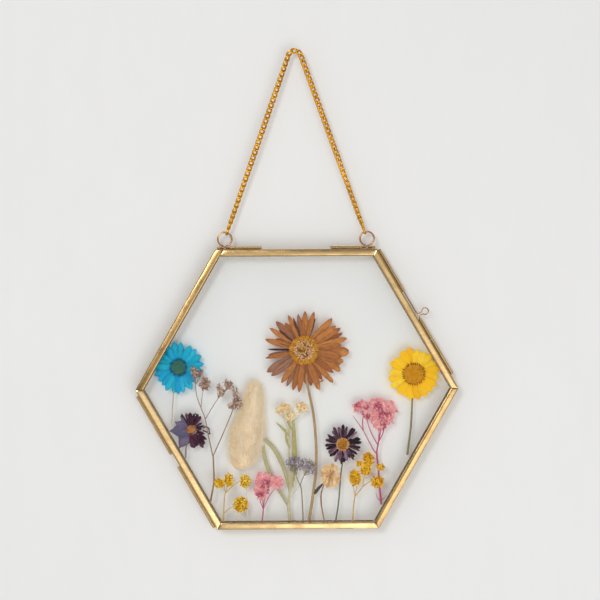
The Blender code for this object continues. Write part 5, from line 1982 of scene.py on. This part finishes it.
class FRAME_OT_stage(bpy.types.Operator):
    """Set up the wall, the floor, the lights and the camera"""

    bl_idname = "pressed_frame.stage"
    bl_label = "Stage"

    def execute(self, context):
        stage = settings().stage
        self.camera(stage)
        self.wall(stage)
        self.floor(stage)
        self.lights(stage)
        self.surround(stage)
        context.scene.view_settings.view_transform = "Standard"
        context.scene.cycles.transparent_max_bounces = 32  # light crosses both panes twice
        return {"FINISHED"}

    def camera(self, stage):
        """The camera, square to the wall and level with the top of the specimens."""
        camera = bpy.data.cameras.new("camera")
        camera.lens = stage.lens
        camera.sensor_width = 36
        camera.clip_start = 0.01
        thing = linked("camera", camera)
        place = Matrix.Translation((CAMERA_ASIDE, -stage.distance, CENTRE_Z + CAMERA_RISE))
        thing.matrix_world = place @ Matrix.Rotation(pi / 2, 4, "X") @ Matrix.Rotation(stage.roll, 4, "Z")
        bpy.context.scene.camera = thing

    def plane(self, name, corners, material):
        """A flat stage sheet."""
        mesh = bpy.data.meshes.new(name)
        mesh.from_pydata(corners, [], [(0, 1, 2, 3)])
        mesh.materials.append(material)
        sheet = linked(name, mesh)

    def wall(self, stage):
        """A painted wall that is seen from the front only, and lets other light past."""
        material, tree, shader, output = new_material("wall_paint")
        strokes = noise_value(tree, object_place(tree, (60, 60, 22)), 1.0, 5.0, 0.6)
        grain = noise_value(tree, object_place(tree), 420.0, 4.0, 0.6)
        paint = tuple(stage.wall)
        shade = ramp(tree, strokes, [(0.3, tuple(c * 0.985 for c in paint)), (0.7, paint)])
        height = calc(tree, "ADD", calc(tree, "MULTIPLY", strokes, 2.0),
            calc(tree, "MULTIPLY", grain, 0.35))
        bump = node(tree, "ShaderNodeBump",
            {"Strength": 0.1, "Distance": 0.0006, "Height": height}).outputs[0]
        join_in(tree, shader, Base_Color=shade, Normal=bump)
        shader.inputs["Roughness"].default_value = 0.9
        shader.inputs["Specular IOR Level"].default_value = 0.1
        self.seen_only(tree, shader, output)
        y, wide = stage.wall_gap, 1.6
        corners = [(-wide, y, -stage.floor_drop), (wide, y, -stage.floor_drop), (wide, y, wide),
            (-wide, y, wide)]
        self.plane("wall", corners, material)

    def seen_only(self, tree, shader, output):
        """Show a stage surface to the camera from its front, and let all other light past."""
        clear = node(tree, "ShaderNodeBsdfTransparent").outputs[0]
        rays_of = node(tree, "ShaderNodeLightPath").outputs
        seen = calc(tree, "MAXIMUM", rays_of["Is Camera Ray"], rays_of["Is Transmission Ray"])
        behind = node(tree, "ShaderNodeNewGeometry").outputs["Backfacing"]
        shown = calc(tree, "MULTIPLY", seen, calc(tree, "SUBTRACT", 1.0, behind))
        whole = node(tree, "ShaderNodeMixShader", {0: shown, 1: clear, 2: shader.outputs[0]}).outputs[0]
        tree.links.new(whole, output.inputs["Surface"])

    def floor(self, stage):
        """A pale floor well below the frame."""
        material, tree, shader, output = new_material("floor_paint")
        grain = noise_value(tree, object_place(tree), 90.0, 4.0, 0.6)
        join_in(tree, shader, Base_Color=ramp(tree, grain, [(0.3, grey(0.78)), (0.7, grey(0.82))]))
        shader.inputs["Roughness"].default_value = 0.8
        self.seen_only(tree, shader, output)
        z, wide = -stage.floor_drop, 3.0
        self.plane("floor", [(-wide, -wide, z), (wide, -wide, z), (wide, wide, z), (-wide, wide, z)],
            material)

    def lights(self, stage):
        """A soft key from the upper left front, and fills from the front and behind."""
        aim = Vector((0, 0, CENTRE_Z + 0.04))
        for name, place, size, power in (
            ("key", (-0.4, -1.25, 0.24), 0.42, stage.key),
            ("fill", (0.35, -1.0, -0.62), 0.9, stage.fill),
            ("rear", (0.3, 1.3, 0.5), 0.9, stage.fill * 1.4),
        ):
            light = bpy.data.lights.new(name, "AREA")
            light.shape = "DISK"
            light.size = size
            light.energy = power
            thing = linked(name, light)
            thing.location = place
            thing.rotation_euler = (aim - Vector(place)).to_track_quat("-Z", "Y").to_euler()

    def surround(self, stage):
        """A pale surround, brighter to the lower right of the front, which the brass reflects."""
        world = bpy.data.worlds.new("surround")
        bpy.context.scene.world = world
        world.use_nodes = True
        tree = world.node_tree
        sky = tree.nodes["Background"]
        way = node(tree, "ShaderNodeTexCoord").outputs["Generated"]
        parts = node(tree, "ShaderNodeSeparateXYZ", {0: way}).outputs
        height = spread(tree, parts["Z"], -0.6, 0.9, 1.2, 0.95)
        dim = spread(tree, self.apart(tree, way, DIM_WAY), 0.3, 0.8, 0.42, 1.0)
        patch = spread(tree, self.apart(tree, way, PATCH_WAY), 0.16, 0.32, 1.9, 0.0)
        level = calc(tree, "ADD", calc(tree, "MULTIPLY", height, dim), patch)
        strength = calc(tree, "MULTIPLY", level, stage.sky)
        sky.inputs["Color"].default_value = (1.0, 0.995, 0.985, 1.0)
        tree.links.new(strength, sky.inputs["Strength"])

    def apart(self, tree, way, centre):
        """How far a direction is from a centre one."""
        return vector_calc(tree, "DISTANCE", way, centre).outputs["Value"]


PIECES = (
    FRAME_OT_bars,
    FRAME_OT_panes,
    FRAME_OT_hinge,
    FRAME_OT_hangers,
    FRAME_OT_clasp,
    FRAME_OT_chain,
    FRAME_OT_blue_daisy,
    FRAME_OT_yellow_daisy,
    FRAME_OT_dark_daisy,
    FRAME_OT_brown_flower,
    FRAME_OT_violet_flower,
    FRAME_OT_brown_sprig,
    FRAME_OT_bunny_tail,
    FRAME_OT_button_sprigs,
    FRAME_OT_pink_sprigs,
    FRAME_OT_leaf_blades,
    FRAME_OT_cream_sprig,
    FRAME_OT_statice,
    FRAME_OT_peach_flower,
)


class FRAME_PG_all(bpy.types.PropertyGroup):
    """All the settings of the frame."""

    brasswork: PointerProperty(type=FRAME_PG_brasswork, name="Brasswork",
        description="Brass, chain and glass")
    specimens: PointerProperty(type=FRAME_PG_specimens, name="Specimens", description="Pressed plants")
    stage: PointerProperty(type=FRAME_PG_stage, name="Stage", description="Wall, lights and camera")


class FRAME_PT_sidebar(bpy.types.Panel):
    """The frame's pieces in the sidebar"""

    bl_idname = "FRAME_PT_sidebar"
    bl_label = "Pressed Flower Frame"
    bl_space_type = "VIEW_3D"
    bl_region_type = "UI"
    bl_category = "Flower Frame"

    def draw(self, context):
        layout = self.layout
        for group in (settings().brasswork, settings().specimens, settings().stage):
            box = layout.box()
            for name in group.bl_rna.properties.keys():
                if name not in ("rna_type", "name"):
                    box.prop(group, name)
        layout.operator(FRAME_OT_stage.bl_idname)
        for piece in PIECES:
            layout.operator(piece.bl_idname)


CLASSES = (
    FRAME_PG_brasswork, FRAME_PG_specimens, FRAME_PG_stage, FRAME_PG_all, FRAME_OT_stage, *PIECES,
    FRAME_PT_sidebar,
)


def register():
    """Register the classes and the scene's settings."""
    for kind in CLASSES:
        bpy.utils.register_class(kind)
    bpy.types.Scene.pressed_frame = PointerProperty(type=FRAME_PG_all)


def unregister():
    """Take everything out again."""
    del bpy.types.Scene.pressed_frame
    for kind in reversed(CLASSES):
        bpy.utils.unregister_class(kind)


def main():
    """Make the stage and every piece."""
    register()
    for kind in (FRAME_OT_stage, *PIECES):
        group, name = kind.bl_idname.split(".")
        getattr(getattr(bpy.ops, group), name)()


if __name__ == "__main__":
    main()
